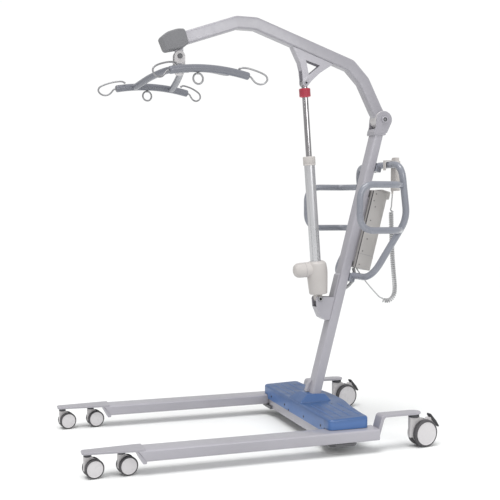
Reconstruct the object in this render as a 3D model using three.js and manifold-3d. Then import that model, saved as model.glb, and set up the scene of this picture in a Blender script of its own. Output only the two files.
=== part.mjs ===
// Mobile patient lift hoist: wheeled base with spreading legs, leaning mast, powered boom and
// a four-point spreader. Millimetres. +Z is up, -X is forward (the way the legs and boom reach),
// +Y is the hoist's right. The origin is on the floor under the middle of the base.
import * as THREE from 'three'
import Module from 'manifold-3d'
import { mergeVertices } from 'three/addons/utils/BufferGeometryUtils.js'

const wasm = await Module()
wasm.setup()

// ---------------------------------------------------------------- driving dimensions
const GAP = 0.3 // air between two pieces that rest on each other
const DEG = Math.PI / 180

// Base
const BASE_LENGTH = 1315 // front plate tip to brake pedal tip
const LEG_Y = 342 // centre line of each leg
const LEG_WIDTH = 78
const LEG_TOP = 86
const LEG_BOTTOM = 46
const LEG_WALL = 3
const LEG_FRONT_X = -480 // top of the slanted front end of the tube
const LEG_REAR_X = 390
const PLATE_WIDTH = 50
const FRONT_PLATE_TOP = 89
const FRONT_PLATE_THICK = 8
const REAR_ARM_BOTTOM = 123
const REAR_ARM_THICK = 9
const LEG_PIVOT_X = 259
const LEG_PIVOT_Y = 318
const LEG_BOLT_R = 8
const PIVOT_PLATE_TOP = LEG_BOTTOM - 2.5
const PIVOT_PLATE_THICK = 11

const BEAM_FRONT_X = 217
const BEAM_REAR_X = 313
const BEAM_BOTTOM = 35
const BEAM_TOP = 94
const COVER_FRONT_X = 209
const COVER_REAR_X = 363
const COVER_HALF_Y = 347
const COVER_WALL = 4

// Castors: each wheel pair trails its stem and stands turned by the same small angle
const CASTOR_TURN = 8 * DEG
const FRONT_CASTOR = { wheelR: 32, halfWidth: 22, halfHood: 6, stemR: 11.5, ringHeight: 8, trail: 19 }
const REAR_CASTOR = { wheelR: 50, halfWidth: 27, halfHood: 7.5, stemR: 20, ringHeight: 12, trail: 40 }
const FRONT_STEM_X = [-637.5, -527]
const REAR_STEM_X = 545.5

// Mast
const MAST_DEPTH = 38
const MAST_WIDTH = 56
const MAST_WALL = 3
const MAST_LEAN = 14.56 * DEG
const MAST_X_AT_600 = 412.2
const MAST_TOP = 1176
const HEAD_PLATE_R = 35
const HEAD_PLATE_THICK = 5

// Boom: centre line from the pivot to the front end, side view (x, z)
const BOOM_PIVOT = [577.2, 1219.3]
const BOOM_LINE = [[577.2, 1219.3], [555, 1250.5], [496, 1366.5], [438.5, 1425.8], [50.5, 1561],
  [-25.5, 1561.5], [-289, 1469.3]]
const BOOM_HEIGHT = 47
const BOOM_WIDTH = 44
const BOOM_WALL = 4
const BARREL_R = 33
const BARREL_HALF = 26.5
const PIVOT_BOLT_R = 8

// Lift actuator: lower pin on the mast, upper pin under the boom
const LOWER_PIN = [310.7, 519.6]
const UPPER_PIN = [250.5, 1349.6]
const OUTER_TUBE_R = 20.5
const COLLAR_R = 24
const ROD_R = 11.5
const RING_R = 22
const PIN_R = 6

// Spreader
const HANGER_PIN = [-243.7, 1425]
const SPREADER_TURN = 9.5 * DEG
const BAR_HALF_LENGTH = 150
const BAR_OFFSET = 262
const BAR_R = 13.5
const BAR_END_Z = 1329
const BAR_ARCH = 16
const ARM_REACH = 75
const HOOK_SPLAY = 17 * DEG
const HOOK_WIRE_R = 3.2
const RING_MID_R = 18
const RING_WIRE_R = 3.2

// Push handles
const HANDLE_R = 13

// Control box, on the back of the mast
const BOX_MID_Z = 795
const BOX_HALF_WIDTH = 50
const BOX_DEPTH = 68
const BOX_GAP = 6
const BOX_LOW = -152

// Handset cord
const CORD_R = 2.6
const CURL_R = 8.5

// ---------------------------------------------------------------- colours
const paint = (color, roughness = 0.45, metalness = 0.1) =>
  new THREE.MeshStandardMaterial({ color, roughness, metalness })
const FRAME_PAINT = paint(0xb9b8c0)
const DARK_PAINT = paint(0x8f969f)
const BLUE_PLASTIC = paint(0x4f77a8, 0.5, 0)
const PAD_GREY = paint(0x88888c, 0.7, 0)
const WHITE_PLASTIC = paint(0xdcd9da, 0.5, 0)
const BEIGE_PLASTIC = paint(0xd6d1cb, 0.5, 0)
const TYRE_GREY = paint(0x4a484a, 0.8, 0)
const BLACK_PLASTIC = paint(0x26262a, 0.5, 0)
const SATIN_ALUMINIUM = paint(0xb8b8b8, 0.35, 0.8)
const CHROME = paint(0xcfcfcf, 0.1, 1)
const STEEL = paint(0xa8a8a8, 0.3, 0.9)
const RED_PLASTIC = paint(0xc83c50, 0.5, 0)

// ---------------------------------------------------------------- solids and shapes
const position = (geometry) => {
  const bare = geometry.index ? geometry.toNonIndexed() : geometry.clone()
  for (const name of Object.keys(bare.attributes)) if (name !== 'position') bare.deleteAttribute(name)
  return mergeVertices(bare, 1e-3)
}

function solid(geometry) {
  const merged = position(geometry)
  const vertProperties = new Float32Array(merged.attributes.position.array)
  const triVerts = new Uint32Array(merged.index.array)
  return new wasm.Manifold(new wasm.Mesh({ numProp: 3, vertProperties, triVerts }))
}

function geometryOf(manifold) {
  const mesh = manifold.getMesh()
  const geometry = new THREE.BufferGeometry()
  geometry.setAttribute('position', new THREE.BufferAttribute(new Float32Array(mesh.vertProperties), 3))
  geometry.setIndex(new THREE.BufferAttribute(new Uint32Array(mesh.triVerts), 1))
  geometry.computeVertexNormals()
  return geometry
}

const join = (...solids) => solids.reduce((sum, one) => sum.add(one))
const cut = (body, ...holes) => holes.reduce((left, hole) => left.subtract(hole), body)

// Box from its lowest to its highest corner
function block([x0, y0, z0], [x1, y1, z1]) {
  const box = new THREE.BoxGeometry(x1 - x0, y1 - y0, z1 - z0)
  return box.translate((x0 + x1) / 2, (y0 + y1) / 2, (z0 + z1) / 2)
}

// Cylinder along Y from y0 to y1 round the point (x, z)
function pinY(radius, y0, y1, [x, z], sides = 16) {
  return new THREE.CylinderGeometry(radius, radius, y1 - y0, sides).translate(x, (y0 + y1) / 2, z)
}

// Cylinder along Z from z0 to z1 round the point (x, y)
function pinZ(radius, z0, z1, [x, y] = [0, 0], sides = 16) {
  const cylinder = new THREE.CylinderGeometry(radius, radius, z1 - z0, sides).rotateX(Math.PI / 2)
  return cylinder.translate(x, y, (z0 + z1) / 2)
}

const shapeOf = (points) => new THREE.Shape(points.map(([a, b]) => new THREE.Vector2(a, b)))

// Side-view outline (x, z) given a thickness from y0 to y1
function sidePlate(points, y0, y1) {
  const slab = new THREE.ExtrudeGeometry(shapeOf(points), { depth: y1 - y0, bevelEnabled: false })
  return slab.rotateX(Math.PI / 2).translate(0, y1, 0)
}

// Top-view outline (x, y) given a thickness from z0 to z1
function flatPlate(points, z0, z1) {
  const slab = new THREE.ExtrudeGeometry(shapeOf(points), { depth: z1 - z0, bevelEnabled: false })
  return slab.translate(0, 0, z0)
}

// Points along an arc, angles in degrees
function arc([cx, cy], radius, from, to, steps = 8) {
  const points = []
  for (let k = 0; k <= steps; k++) {
    const angle = (from + ((to - from) * k) / steps) * DEG
    points.push([cx + radius * Math.cos(angle), cy + radius * Math.sin(angle)])
  }
  return points
}

// Round bar along a smooth curve through the points
function bar(points, radius, sides = 8, steps = 24) {
  const path = new THREE.CatmullRomCurve3(points.map((p) => new THREE.Vector3(...p)), false, 'centripetal')
  return new THREE.ExtrudeGeometry(shapeOf(arc([0, 0], radius, 0, 360 - 360 / sides, sides - 1)), {
    steps, extrudePath: path,
  })
}

// Corner points replaced by short curves of the given reach, for a bent tube
// reach is one number for every corner, or one per corner
function bent(points, reach, perCorner = 4) {
  const corners = points.map((p) => new THREE.Vector3(...p))
  const path = [points[0]]
  for (let k = 1; k < corners.length - 1; k++) {
    const length = Array.isArray(reach) ? reach[k - 1] : reach
    const before = corners[k - 1].clone().sub(corners[k]).setLength(length).add(corners[k])
    const after = corners[k + 1].clone().sub(corners[k]).setLength(length).add(corners[k])
    const curve = new THREE.QuadraticBezierCurve3(before, corners[k], after)
    for (const point of curve.getPoints(perCorner)) path.push(point.toArray())
  }
  path.push(points[points.length - 1])
  return path
}

// Round bar whose sections stand exactly at the given points
function tubeThrough(points, radius, sides = 8) {
  const path = new THREE.CurvePath()
  const at = points.map((p) => new THREE.Vector3(...p))
  for (let k = 1; k < at.length; k++) path.add(new THREE.LineCurve3(at[k - 1], at[k]))
  path.getSpacedPoints = () => at
  const fractions = at.map((_, k) => k / (at.length - 1))
  path.getTangentAt = (u, target = new THREE.Vector3()) => {
    const k = fractions.findIndex((f) => Math.abs(f - u) < 1e-6)
    const before = at[Math.max(k - 1, 0)]
    const after = at[Math.min(k + 1, at.length - 1)]
    return target.copy(after).sub(before).normalize()
  }
  return new THREE.ExtrudeGeometry(shapeOf(arc([0, 0], radius, 0, 360 - 360 / sides, sides - 1)), {
    steps: at.length - 1, extrudePath: path,
  })
}

// ---------------------------------------------------------------- the assembly
const hoist = new THREE.Group()

function place(name, geometry, material, parent = hoist) {
  const shape = geometry instanceof THREE.BufferGeometry ? position(geometry) : geometryOf(geometry)
  const mesh = new THREE.Mesh(shape, material)
  mesh.name = name
  parent.add(mesh)
  return mesh
}

const SIDES = [['left', -1], ['right', 1]]
const mirrorY = (manifold, side) => (side < 0 ? manifold.mirror([0, 1, 0]) : manifold)

const mastAxisX = (z) => MAST_X_AT_600 + (z - 600) * Math.tan(MAST_LEAN)
const mastHalfX = MAST_DEPTH / 2 / Math.cos(MAST_LEAN)

// Frame that leans with the mast: its origin is on the mast's axis at height z, +X points out
// of the mast's back and +Z runs up the mast
function mastFrame(z) {
  const frame = new THREE.Group()
  frame.position.set(mastAxisX(z), 0, z)
  frame.rotation.y = MAST_LEAN
  hoist.add(frame)
  return frame
}

// The point (out, y, up) of that frame, in the hoist's own frame
function onMast(z, [out, y, up]) {
  const point = new THREE.Vector3(out, y, up).applyAxisAngle(new THREE.Vector3(0, 1, 0), MAST_LEAN)
  return [point.x + mastAxisX(z), point.y, point.z + z]
}

// Welded beam between the legs. Its top ends reach over the legs, its lower ends are notched
// for the pivot plates.
function crossbeam() {
  const halfFront = 298
  const halfRear = 274
  const notchY = 261
  const body = solid(flatPlate([[BEAM_FRONT_X, -halfFront], [BEAM_REAR_X, -halfRear],
    [BEAM_REAR_X, halfRear], [BEAM_FRONT_X, halfFront]], BEAM_BOTTOM, BEAM_TOP))
  const hollow = solid(block([BEAM_FRONT_X + 5, -252, BEAM_BOTTOM - 1], [BEAM_REAR_X - 5, 252, BEAM_TOP - 8]))
  let beam = cut(body, hollow)
  for (const side of [-1, 1]) {
    const reach = [[BEAM_FRONT_X + 1, side * 255], [BEAM_REAR_X - 5, side * 255],
      [BEAM_REAR_X - 5, side * 300], [LEG_PIVOT_X + 18, side * 341], [LEG_PIVOT_X - 18, side * 341],
      [BEAM_FRONT_X + 1, side * 300]]
    const upper = solid(flatPlate(side < 0 ? reach.reverse() : reach, LEG_TOP + 2.5, BEAM_TOP))
    const notch = solid(block([100, side < 0 ? -400 : notchY, 0], [400, side < 0 ? -notchY : 400,
      PIVOT_PLATE_TOP + GAP]))
    const bolt = solid(pinZ(LEG_BOLT_R + GAP, 0, 120, [LEG_PIVOT_X, side * LEG_PIVOT_Y]))
    beam = cut(join(beam, upper), notch, bolt)
  }
  place('crossbeam', beam, FRAME_PAINT)
}

// Plate under each leg that carries the leg's pivot
function pivotPlate(label, side) {
  const at = [LEG_PIVOT_X, side * LEG_PIVOT_Y]
  const outline = [[208, 262], [312, 262], [312, 352], [296, 370], [224, 370], [208, 352]]
  const plate = solid(flatPlate(outline, PIVOT_PLATE_TOP - PIVOT_PLATE_THICK, PIVOT_PLATE_TOP))
  place(`pivot_plate_${label}`, cut(mirrorY(plate, side), solid(pinZ(LEG_BOLT_R + GAP, 0, 120, at))),
    BLACK_PLASTIC)
}

function legPivotBolt(label, side) {
  const at = [LEG_PIVOT_X, side * LEG_PIVOT_Y]
  const plateBottom = PIVOT_PLATE_TOP - PIVOT_PLATE_THICK
  const shank = solid(pinZ(LEG_BOLT_R, plateBottom - 12, BEAM_TOP + 1, at))
  const nut = solid(pinZ(15, plateBottom - 12, plateBottom - GAP, at, 6))
  const head = solid(pinZ(14, BEAM_TOP + GAP, BEAM_TOP + 8, at, 6))
  place(`leg_pivot_bolt_${label}`, join(shank, nut, head), BLACK_PLASTIC)
}

// Moulded cover over the crossbeam: a shell open below, raised round the mast, with a skirt that
// hangs lower between the legs
function baseCover() {
  const low = 71
  const endLow = LEG_TOP + 1.5
  const rear = 396
  const profile = (inset, bottom) => [[COVER_FRONT_X + inset, bottom], [rear - inset, bottom],
    [rear - inset, 130 - inset], [COVER_FRONT_X + 9, 124 - inset], [COVER_FRONT_X + inset, 117 - inset]]
  const plan = (inset) => {
    const y = COVER_HALF_Y - inset
    const half = [[COVER_FRONT_X + inset, y], [COVER_REAR_X - inset, y], [368 - inset, 250],
      [379 - inset, 160], [rear - inset - 2, 80]]
    return [...half.map(([a, b]) => [a, -b]), ...half.reverse()]
  }
  const shell = (inset, bottom) => solid(sidePlate(profile(inset, bottom), -COVER_HALF_Y, COVER_HALF_Y))
    .intersect(solid(flatPlate(plan(inset), 0, 200)))
  const hump = solid(sidePlate([[COVER_FRONT_X + 2, 110], [COVER_FRONT_X + 130, 110],
    [COVER_FRONT_X + 122, 144], [COVER_FRONT_X + 102, 152], [COVER_FRONT_X + 34, 152],
    [COVER_FRONT_X + 8, 137]], -62, 62))
  const humpInner = solid(block([COVER_FRONT_X + 30, -57, 100], [COVER_FRONT_X + 112, 57, 146]))
  const dip = (x0, y0, side) => solid(block([x0, side < 0 ? -360 : y0, low - 2],
    [rear + 1, side < 0 ? -y0 : 360, endLow]))
  const mastHole = solid(new THREE.BoxGeometry(MAST_DEPTH + 8, MAST_WIDTH + 8, 80)
    .rotateY(MAST_LEAN).translate(mastAxisX(127), 0, 127))
  const dips = [-1, 1].flatMap((side) => [dip(COVER_FRONT_X - 1, 296, side), dip(COVER_REAR_X - 60, 246, side)])
  place('base_cover', cut(join(shell(0, low), hump), shell(COVER_WALL, low - 1), humpInner, ...dips, mastHole),
    BLUE_PLASTIC)
}

// One leg, drawn for the right side and mirrored for the left
function leg(label, side) {
  const y0 = LEG_Y - LEG_WIDTH / 2
  const y1 = LEG_Y + LEG_WIDTH / 2
  const slant = 18
  const tube = solid(sidePlate([[LEG_FRONT_X, LEG_TOP], [LEG_FRONT_X + slant, LEG_BOTTOM - 7],
    [LEG_FRONT_X + slant + 11, LEG_BOTTOM - 7], [LEG_FRONT_X + slant + 11, LEG_BOTTOM],
    [LEG_REAR_X, LEG_BOTTOM], [LEG_REAR_X, LEG_TOP]], y0, y1))
  const hollow = solid(block([LEG_FRONT_X + 30, y0 + LEG_WALL, LEG_BOTTOM + LEG_WALL],
    [LEG_REAR_X - 6, y1 - LEG_WALL, LEG_TOP - LEG_WALL]))
  const drain = solid(pinZ(5, LEG_BOTTOM - 1, LEG_BOTTOM + 10, [LEG_REAR_X - 40, LEG_Y]))
  const pivotBoss = solid(pinZ(14, LEG_BOTTOM + 1, LEG_TOP - 1, [LEG_PIVOT_X, LEG_PIVOT_Y]))
  const boltHole = solid(pinZ(LEG_BOLT_R + 0.4, 0, 120, [LEG_PIVOT_X, LEG_PIVOT_Y]))
  const p0 = LEG_Y - PLATE_WIDTH / 2
  const p1 = LEG_Y + PLATE_WIDTH / 2
  const tip = -BASE_LENGTH / 2
  const frontPlate = solid(flatPlate([[LEG_FRONT_X + 25, y0], [LEG_FRONT_X + 25, y1], [LEG_FRONT_X - 6, y1 - 1],
    [tip + 30, p1], ...arc([tip + 12, p1 - 12], 12, 90, 180, 3), ...arc([tip + 12, p0 + 12], 12, 180, 270, 3),
    [tip + 30, p0], [LEG_FRONT_X - 6, y0 + 1]], FRONT_PLATE_TOP - FRONT_PLATE_THICK, FRONT_PLATE_TOP))
  const armTop = REAR_ARM_BOTTOM + REAR_ARM_THICK
  const armEnd = REAR_STEM_X + PLATE_WIDTH / 2
  const arm = solid(sidePlate([[384, LEG_BOTTOM], [394, LEG_BOTTOM], [415, 117], [421, REAR_ARM_BOTTOM],
    [armEnd, REAR_ARM_BOTTOM], [armEnd, armTop], [413, armTop], [405, 127], [384, 56]], p0, p1))
  const armRound = solid(flatPlate([[300, p0 - 1], [REAR_STEM_X, p0 - 1],
    ...arc([REAR_STEM_X, LEG_Y], PLATE_WIDTH / 2, -90, 90, 8), [REAR_STEM_X, p1 + 1], [300, p1 + 1]], 0, 200))
  const weldment = join(cut(tube, hollow, drain), pivotBoss, frontPlate, arm.intersect(armRound))
  place(`leg_${label}`, mirrorY(cut(weldment, boltHole), side), FRAME_PAINT)
}

// Twin-wheel castor: a hood between two wheels that share an axle. Local origin: stem on the floor.
function castor(label, size, [x, y], top, braked) {
  const frame = new THREE.Group()
  frame.position.set(x, y, 0)
  frame.rotation.z = CASTOR_TURN
  hoist.add(frame)
  const { wheelR, halfWidth, halfHood, stemR, ringHeight, trail } = size
  const axle = [trail, wheelR]
  const ringLow = top - GAP - ringHeight
  const ring = solid(pinZ(stemR, ringLow, top - GAP))
  const outline = [...arc(axle, wheelR * 0.93, 82, -8, 6), ...arc(axle, wheelR * 0.35, -40, -140, 3),
    [-stemR, wheelR * 0.75], [-stemR, ringLow + 1], [stemR, ringLow + 1]]
  const hood = solid(sidePlate(outline, -halfHood, halfHood))
  let housing = cut(join(ring, hood), solid(pinY(7, -60, 60, axle)))
  if (braked) {
    const lug = solid(sidePlate([[50, 92], [77, 82], [89, 94], [84, 104], [58, 104]], -halfHood, halfHood))
    housing = cut(join(housing, lug), solid(pinY(3.4, -60, 60, PEDAL_PIVOT)))
  }
  place(`${label}_housing`, housing, WHITE_PLASTIC, frame)
  const edge = wheelR * 0.12
  const hubR = wheelR * 0.8
  const half = [[0, halfWidth - 1.5], [hubR, halfWidth - 1.5], [hubR + 1, halfWidth],
    [wheelR - edge, halfWidth], [wheelR, halfWidth - edge], [wheelR, halfHood + 3.5],
    [wheelR - 3, halfHood + 0.8], [6, halfHood + 0.8]]
  const profile = [...half, ...half.map(([r, h]) => [r, -h]).reverse()]
  const pair = new THREE.LatheGeometry(profile.map(([r, h]) => new THREE.Vector2(r, -h)), 20)
  place(`${label}_wheels`, pair.translate(trail, 0, wheelR), TYRE_GREY, frame)
  if (braked) brakePedal(label, halfHood, frame)
}

// Pedal pivot and outline are in the castor's frame (x along the trail, z up)
const PEDAL_PIVOT = [81, 95]
const PEDAL_HALF = 13

function brakePedal(label, halfHood, frame) {
  const rocker = solid(sidePlate([[65, 116], [65, 110], [70, 101], [74, 91], [88, 82], [106, 64], [111, 68],
    [97, 95], [90, 108], [71, 118]], -PEDAL_HALF, PEDAL_HALF))
  const slot = solid(sidePlate([[40, 60], [85, 78], [92, 93], [86, 106], [66, 109], [46, 100]],
    -halfHood - 1, halfHood + 1))
  const pin = solid(pinY(3, -PEDAL_HALF, PEDAL_HALF, PEDAL_PIVOT, 12))
  place(`${label}_brake_pedal`, join(cut(rocker, slot), pin), BLACK_PLASTIC, frame)
}

// Leaning tube with a foot on the crossbeam, a web at the foot, and a fork head for the boom
function mast() {
  const lowZ = BEAM_TOP + GAP
  const at = (geometry) => geometry.rotateY(MAST_LEAN).translate(MAST_X_AT_600, 0, 600)
  const length = 1300
  const tube = solid(at(new THREE.BoxGeometry(MAST_DEPTH, MAST_WIDTH, length)))
  const bore = solid(at(new THREE.BoxGeometry(MAST_DEPTH - 2 * MAST_WALL, MAST_WIDTH - 2 * MAST_WALL,
    length + 2)))
  const topCut = (MAST_TOP - 600) / Math.cos(MAST_LEAN)
  const above = solid(at(block([-60, -60, topCut], [60, 60, topCut + 200])))
  const below = solid(block([-200, -60, -200], [700, 60, lowZ]))
  const footX = mastAxisX(lowZ)
  const foot = solid(block([footX - 40, -46, lowZ], [footX + 44, 46, lowZ + 6]))
  const frontAt = (z) => mastAxisX(z) - mastHalfX
  const web = solid(sidePlate([[frontAt(155) - 13, 155], [frontAt(155) + 2, 155], [frontAt(202) + 2, 202],
    [frontAt(196) - 4, 196], [frontAt(182) - 12, 182]], 4, 26))
  const headHalf = MAST_WIDTH / 2 + HEAD_PLATE_THICK
  const collarLow = 1158
  const collarHigh = 1178
  const collarX = mastAxisX(collarLow)
  const collar = solid(sidePlate([[collarX - 25, collarLow], [collarX + 26, collarLow],
    [collarX + 30, collarHigh], [collarX - 22, collarHigh]], -headHalf, headHalf))
  let body = join(cut(tube, above, below), foot, web, collar)
  const inner = MAST_WIDTH / 2 - 0.6
  for (const [y0, y1] of [[-headHalf, -inner], [inner, headHalf]]) {
    const outline = [...arc(BOOM_PIVOT, HEAD_PLATE_R, -25, 180, 14),
      [collarX - 20, collarHigh + 6], [collarX - 24, collarLow + 8], [collarX + 26, collarLow + 8]]
    body = join(body, solid(sidePlate(outline, y0, y1)))
  }
  body = cut(body, bore, solid(pinY(PIVOT_BOLT_R + GAP, -60, 60, BOOM_PIVOT)))
  place('mast', body, FRAME_PAINT)
}

function boomPivotBolt() {
  const outer = MAST_WIDTH / 2 + HEAD_PLATE_THICK + GAP
  const shank = solid(pinY(PIVOT_BOLT_R, -outer - 6, outer + 6, BOOM_PIVOT))
  const head = solid(pinY(13, -outer - 7, -outer, BOOM_PIVOT))
  const nut = solid(pinY(13, outer, outer + 8, BOOM_PIVOT, 6))
  const socket = solid(pinY(4.5, -outer - 8, -outer - 3, BOOM_PIVOT, 6))
  place('boom_pivot_bolt', cut(join(shank, head, nut), socket), STEEL)
}

// Mitred outline of a band round a side-view line
function band(line, half) {
  const upper = []
  const lower = []
  line.forEach(([x, z], k) => {
    const [px, pz] = line[Math.max(k - 1, 0)]
    const [nx, nz] = line[Math.min(k + 1, line.length - 1)]
    const before = new THREE.Vector2(x - px, z - pz).normalize()
    const after = new THREE.Vector2(nx - x, nz - z).normalize()
    const along = before.clone().add(after).normalize()
    const stretch = half / Math.max(along.dot(before.lengthSq() ? before : after), 0.5)
    upper.push([x + along.y * stretch, z - along.x * stretch])
    lower.push([x - along.y * stretch, z + along.x * stretch])
  })
  return [...upper, ...lower.reverse()]
}

const boomLine = BOOM_LINE.slice(1)
const boomFront = boomLine[boomLine.length - 1]
const boomTilt = Math.atan2(boomLine[4][1] - boomFront[1], boomLine[4][0] - boomFront[0])

function boom() {
  const half = BOOM_WIDTH / 2
  const outside = solid(sidePlate(band(boomLine, BOOM_HEIGHT / 2), -half, half))
  const inside = solid(sidePlate(band([...boomLine, [boomFront[0] - 20, boomFront[1] - 7]],
    BOOM_HEIGHT / 2 - BOOM_WALL), -half + BOOM_WALL, half - BOOM_WALL))
  const neck = solid(sidePlate(band([BOOM_PIVOT, BOOM_LINE[1], [548, 1264]], BOOM_HEIGHT / 2), -half, half))
  const barrel = solid(pinY(BARREL_R, -BARREL_HALF, BARREL_HALF, BOOM_PIVOT, 24))
  const [hx, hz] = HANGER_PIN
  const tongue = solid(sidePlate([[hx - 15, hz + 60], [hx + 15, hz + 60], ...arc([hx, hz], 15, 0, -180, 8)],
    -7, 7))
  const bore = solid(pinY(PIVOT_BOLT_R + GAP, -60, 60, BOOM_PIVOT))
  const pinHole = solid(pinY(6 + GAP, -60, 60, HANGER_PIN))
  place('boom', cut(join(cut(outside, inside), neck, barrel, tongue), bore, pinHole), FRAME_PAINT)
}

function boomEndPad() {
  const outline = [[-292, 1440], [-300, 1445], [-316, 1484], [-311, 1494], [-292, 1508.5], [-256, 1521.5],
    [-233, 1522.5], [-227, 1517], [-214, 1474], [-217, 1468], [-234.8, 1452.5], [-266.5, 1445.5]]
  const plan = [[-200, -33], [-200, 33], [-304, 33], [-312, 29], [-318, 20], [-318, -20], [-312, -29],
    [-304, -33]]
  const body = solid(sidePlate(outline, -33, 33)).intersect(solid(flatPlate(plan, 1400, 1600)))
  const socket = solid(block([-0.5, -BOOM_WIDTH / 2 - 0.4, -BOOM_HEIGHT / 2 - 0.4],
    [200, BOOM_WIDTH / 2 + 0.4, BOOM_HEIGHT / 2 + 0.4]).rotateY(-boomTilt)
    .translate(boomFront[0], 0, boomFront[1]))
  const [hx, hz] = HANGER_PIN
  const slot = solid(block([hx - 16, -7.5, hz - 40], [hx + 16, 7.5, hz + 60]))
  place('boom_end_pad', cut(body, socket, slot), PAD_GREY)
}

// U-shaped gusset under the boom: two plates, a front web and a window, with a bolt head outside
function boomGusset() {
  const inner = 14
  const outer = 19
  const [[lowX, lowZ], [highX, highZ]] = [BOOM_LINE[3], BOOM_LINE[4]]
  const slope = (highZ - lowZ) / (highX - lowX)
  const seat = (x) => lowZ + (x - lowX) * slope - (BOOM_HEIGHT / 2 + GAP) * Math.hypot(1, slope)
  const [gx, gz] = UPPER_PIN
  const outline = [[196.7, seat(196.7)], [214, 1449], [226, 1427], [234, 1395], [237.3, 1365],
    ...arc([gx, gz], 13, 185, 320, 6), [272, 1357], [308, 1390], [334, 1407], [364, seat(364)]]
  const window = [[250, 1437], [308, 1418.5], [262, 1380]]
  let plates = null
  for (const side of [-1, 1]) {
    const y = side < 0 ? [-outer, -inner] : [inner, outer]
    const plate = cut(solid(sidePlate(outline, ...y)), solid(sidePlate(window, y[0] - 1, y[1] + 1)))
    const head = solid(pinY(7, side < 0 ? -outer - 4 : outer - 1, side < 0 ? -outer + 1 : outer + 4, [gx, gz], 16))
    plates = plates ? join(plates, plate, head) : join(plate, head)
  }
  const web = solid(sidePlate([[196.7, seat(196.7)], [214, 1449], [226, 1427], [234, 1397], [240, 1397],
    [232, 1428], [220, 1451], [205, seat(205)]], -inner - 1, inner + 1))
  place('boom_gusset', join(plates, web), FRAME_PAINT)
}

function hanger() {
  const [hx, hz] = HANGER_PIN
  const cheek = (side) => solid(sidePlate([...arc([hx, hz], 20, 0, 180, 8), [hx - 20, 1400], [hx + 20, 1400]],
    side < 0 ? -16 : 8.5, side < 0 ? -8.5 : 16))
  const flange = solid(pinZ(23, 1394, 1402, [hx, 0], 20))
  const neck = solid(pinZ(8, 1358, 1396, [hx, 0]))
  const collar = solid(pinZ(15, 1358, 1366, [hx, 0]))
  const fork = join(cheek(-1), cheek(1), flange, neck, collar)
  place('hanger_fork', cut(fork, solid(pinY(6 + GAP, -60, 60, HANGER_PIN))), WHITE_PLASTIC)
  const shank = solid(pinY(6, -22, 22, HANGER_PIN, 16))
  const head = solid(pinY(9, -22, -16 - GAP, HANGER_PIN, 16))
  const nut = solid(pinY(10, 16 + GAP, 23, HANGER_PIN, 6))
  place('hanger_bolt', join(shank, head, nut), STEEL)
}

// Spreader parts share a frame that stands under the hanger, turned a little about +Z
const spreader = new THREE.Group()
spreader.position.set(HANGER_PIN[0], 0, 0)
spreader.rotation.z = SPREADER_TURN
hoist.add(spreader)
const barZ = (x) => BAR_END_Z + BAR_ARCH * (1 - (x / BAR_HALF_LENGTH) ** 2)

function spreaderFrame() {
  let frame = solid(pinZ(30, 1369, 1391, [0, 0], 20))
  for (const sx of [-1, 1]) {
    for (const sy of [-1, 1]) {
      const end = [sx * ARM_REACH, sy * (BAR_OFFSET - BAR_R - 8), barZ(ARM_REACH)]
      frame = join(frame, solid(bar([[sx * 6, sy * 10, 1380], [sx * 28, sy * 50, 1379],
        [sx * 56, sy * 140, 1364], end, [end[0], end[1] + sy * 7, end[2]]], 12.5, 8, 8)))
    }
  }
  frame = cut(frame, solid(pinZ(8.4, 1340, 1420)), solid(pinZ(16, 1340, 1366.6, [0, 0], 20)))
  place('spreader_frame', frame, DARK_PAINT, spreader)
}

function spreaderBar(label, side) {
  const points = [-1, -0.6, -0.2, 0.2, 0.6, 1].map((t) => {
    const x = t * BAR_HALF_LENGTH
    return [x, side * BAR_OFFSET, barZ(x)]
  })
  place(`spreader_bar_${label}`, position(bar(points, BAR_R, 12, 8)), DARK_PAINT, spreader)
}

// Open wire hook at a bar end: s points outward along the hook, t points up. Each hook splays
// outward from its bar.
const HOOK_PATH = [[2.6, 0], [9, -3], [16, -12], [27, -22], [43, -26], [58, -21], [67, -9], [63, 3], [47, 13],
  [22, 22], [-4, 28], [-24, 29], [-33, 25]]

function hook(label, sx, sy) {
  const straight = 9
  const points = HOOK_PATH.map(([s, t]) => {
    const swept = s > 0 ? Math.max(s - straight, 0) : s
    return [sx * (BAR_HALF_LENGTH + GAP + Math.min(Math.max(s, 0), straight) + swept * Math.cos(HOOK_SPLAY)),
      sy * (BAR_OFFSET + swept * Math.sin(HOOK_SPLAY)), BAR_END_Z + t]
  })
  place(`sling_hook_${label}`, position(bar(points, HOOK_WIRE_R, 6, 26)), STEEL, spreader)
}

function hangRing(label, sy) {
  const x = sy < 0 ? -44 : -22
  const top = barZ(x) - BAR_R - 1.4
  const ring = new THREE.TorusGeometry(RING_MID_R, RING_WIRE_R, 6, 18).rotateX(Math.PI / 2)
  const loop = solid(ring.translate(x, sy * BAR_OFFSET, top - RING_MID_R - RING_WIRE_R + 1))
  const stud = solid(pinZ(4.5, top - 6, top, [x, sy * BAR_OFFSET], 12))
  place(`bar_ring_${label}`, join(loop, stud), STEEL, spreader)
}

// Actuator frame: origin on the lower pin, +Z along the actuator towards the upper pin
const actuatorSpan = Math.hypot(UPPER_PIN[0] - LOWER_PIN[0], UPPER_PIN[1] - LOWER_PIN[1])
const actuator = new THREE.Group()
actuator.position.set(LOWER_PIN[0], 0, LOWER_PIN[1])
actuator.rotation.y = Math.atan2(UPPER_PIN[0] - LOWER_PIN[0], UPPER_PIN[1] - LOWER_PIN[1])
hoist.add(actuator)

const HOUSING_TOP = 146
const TUBE_TOP = 552
const COLLAR_HEIGHT = 34
const ROD_BOTTOM = HOUSING_TOP + 232 // clear of the housing with the boom right down

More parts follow.
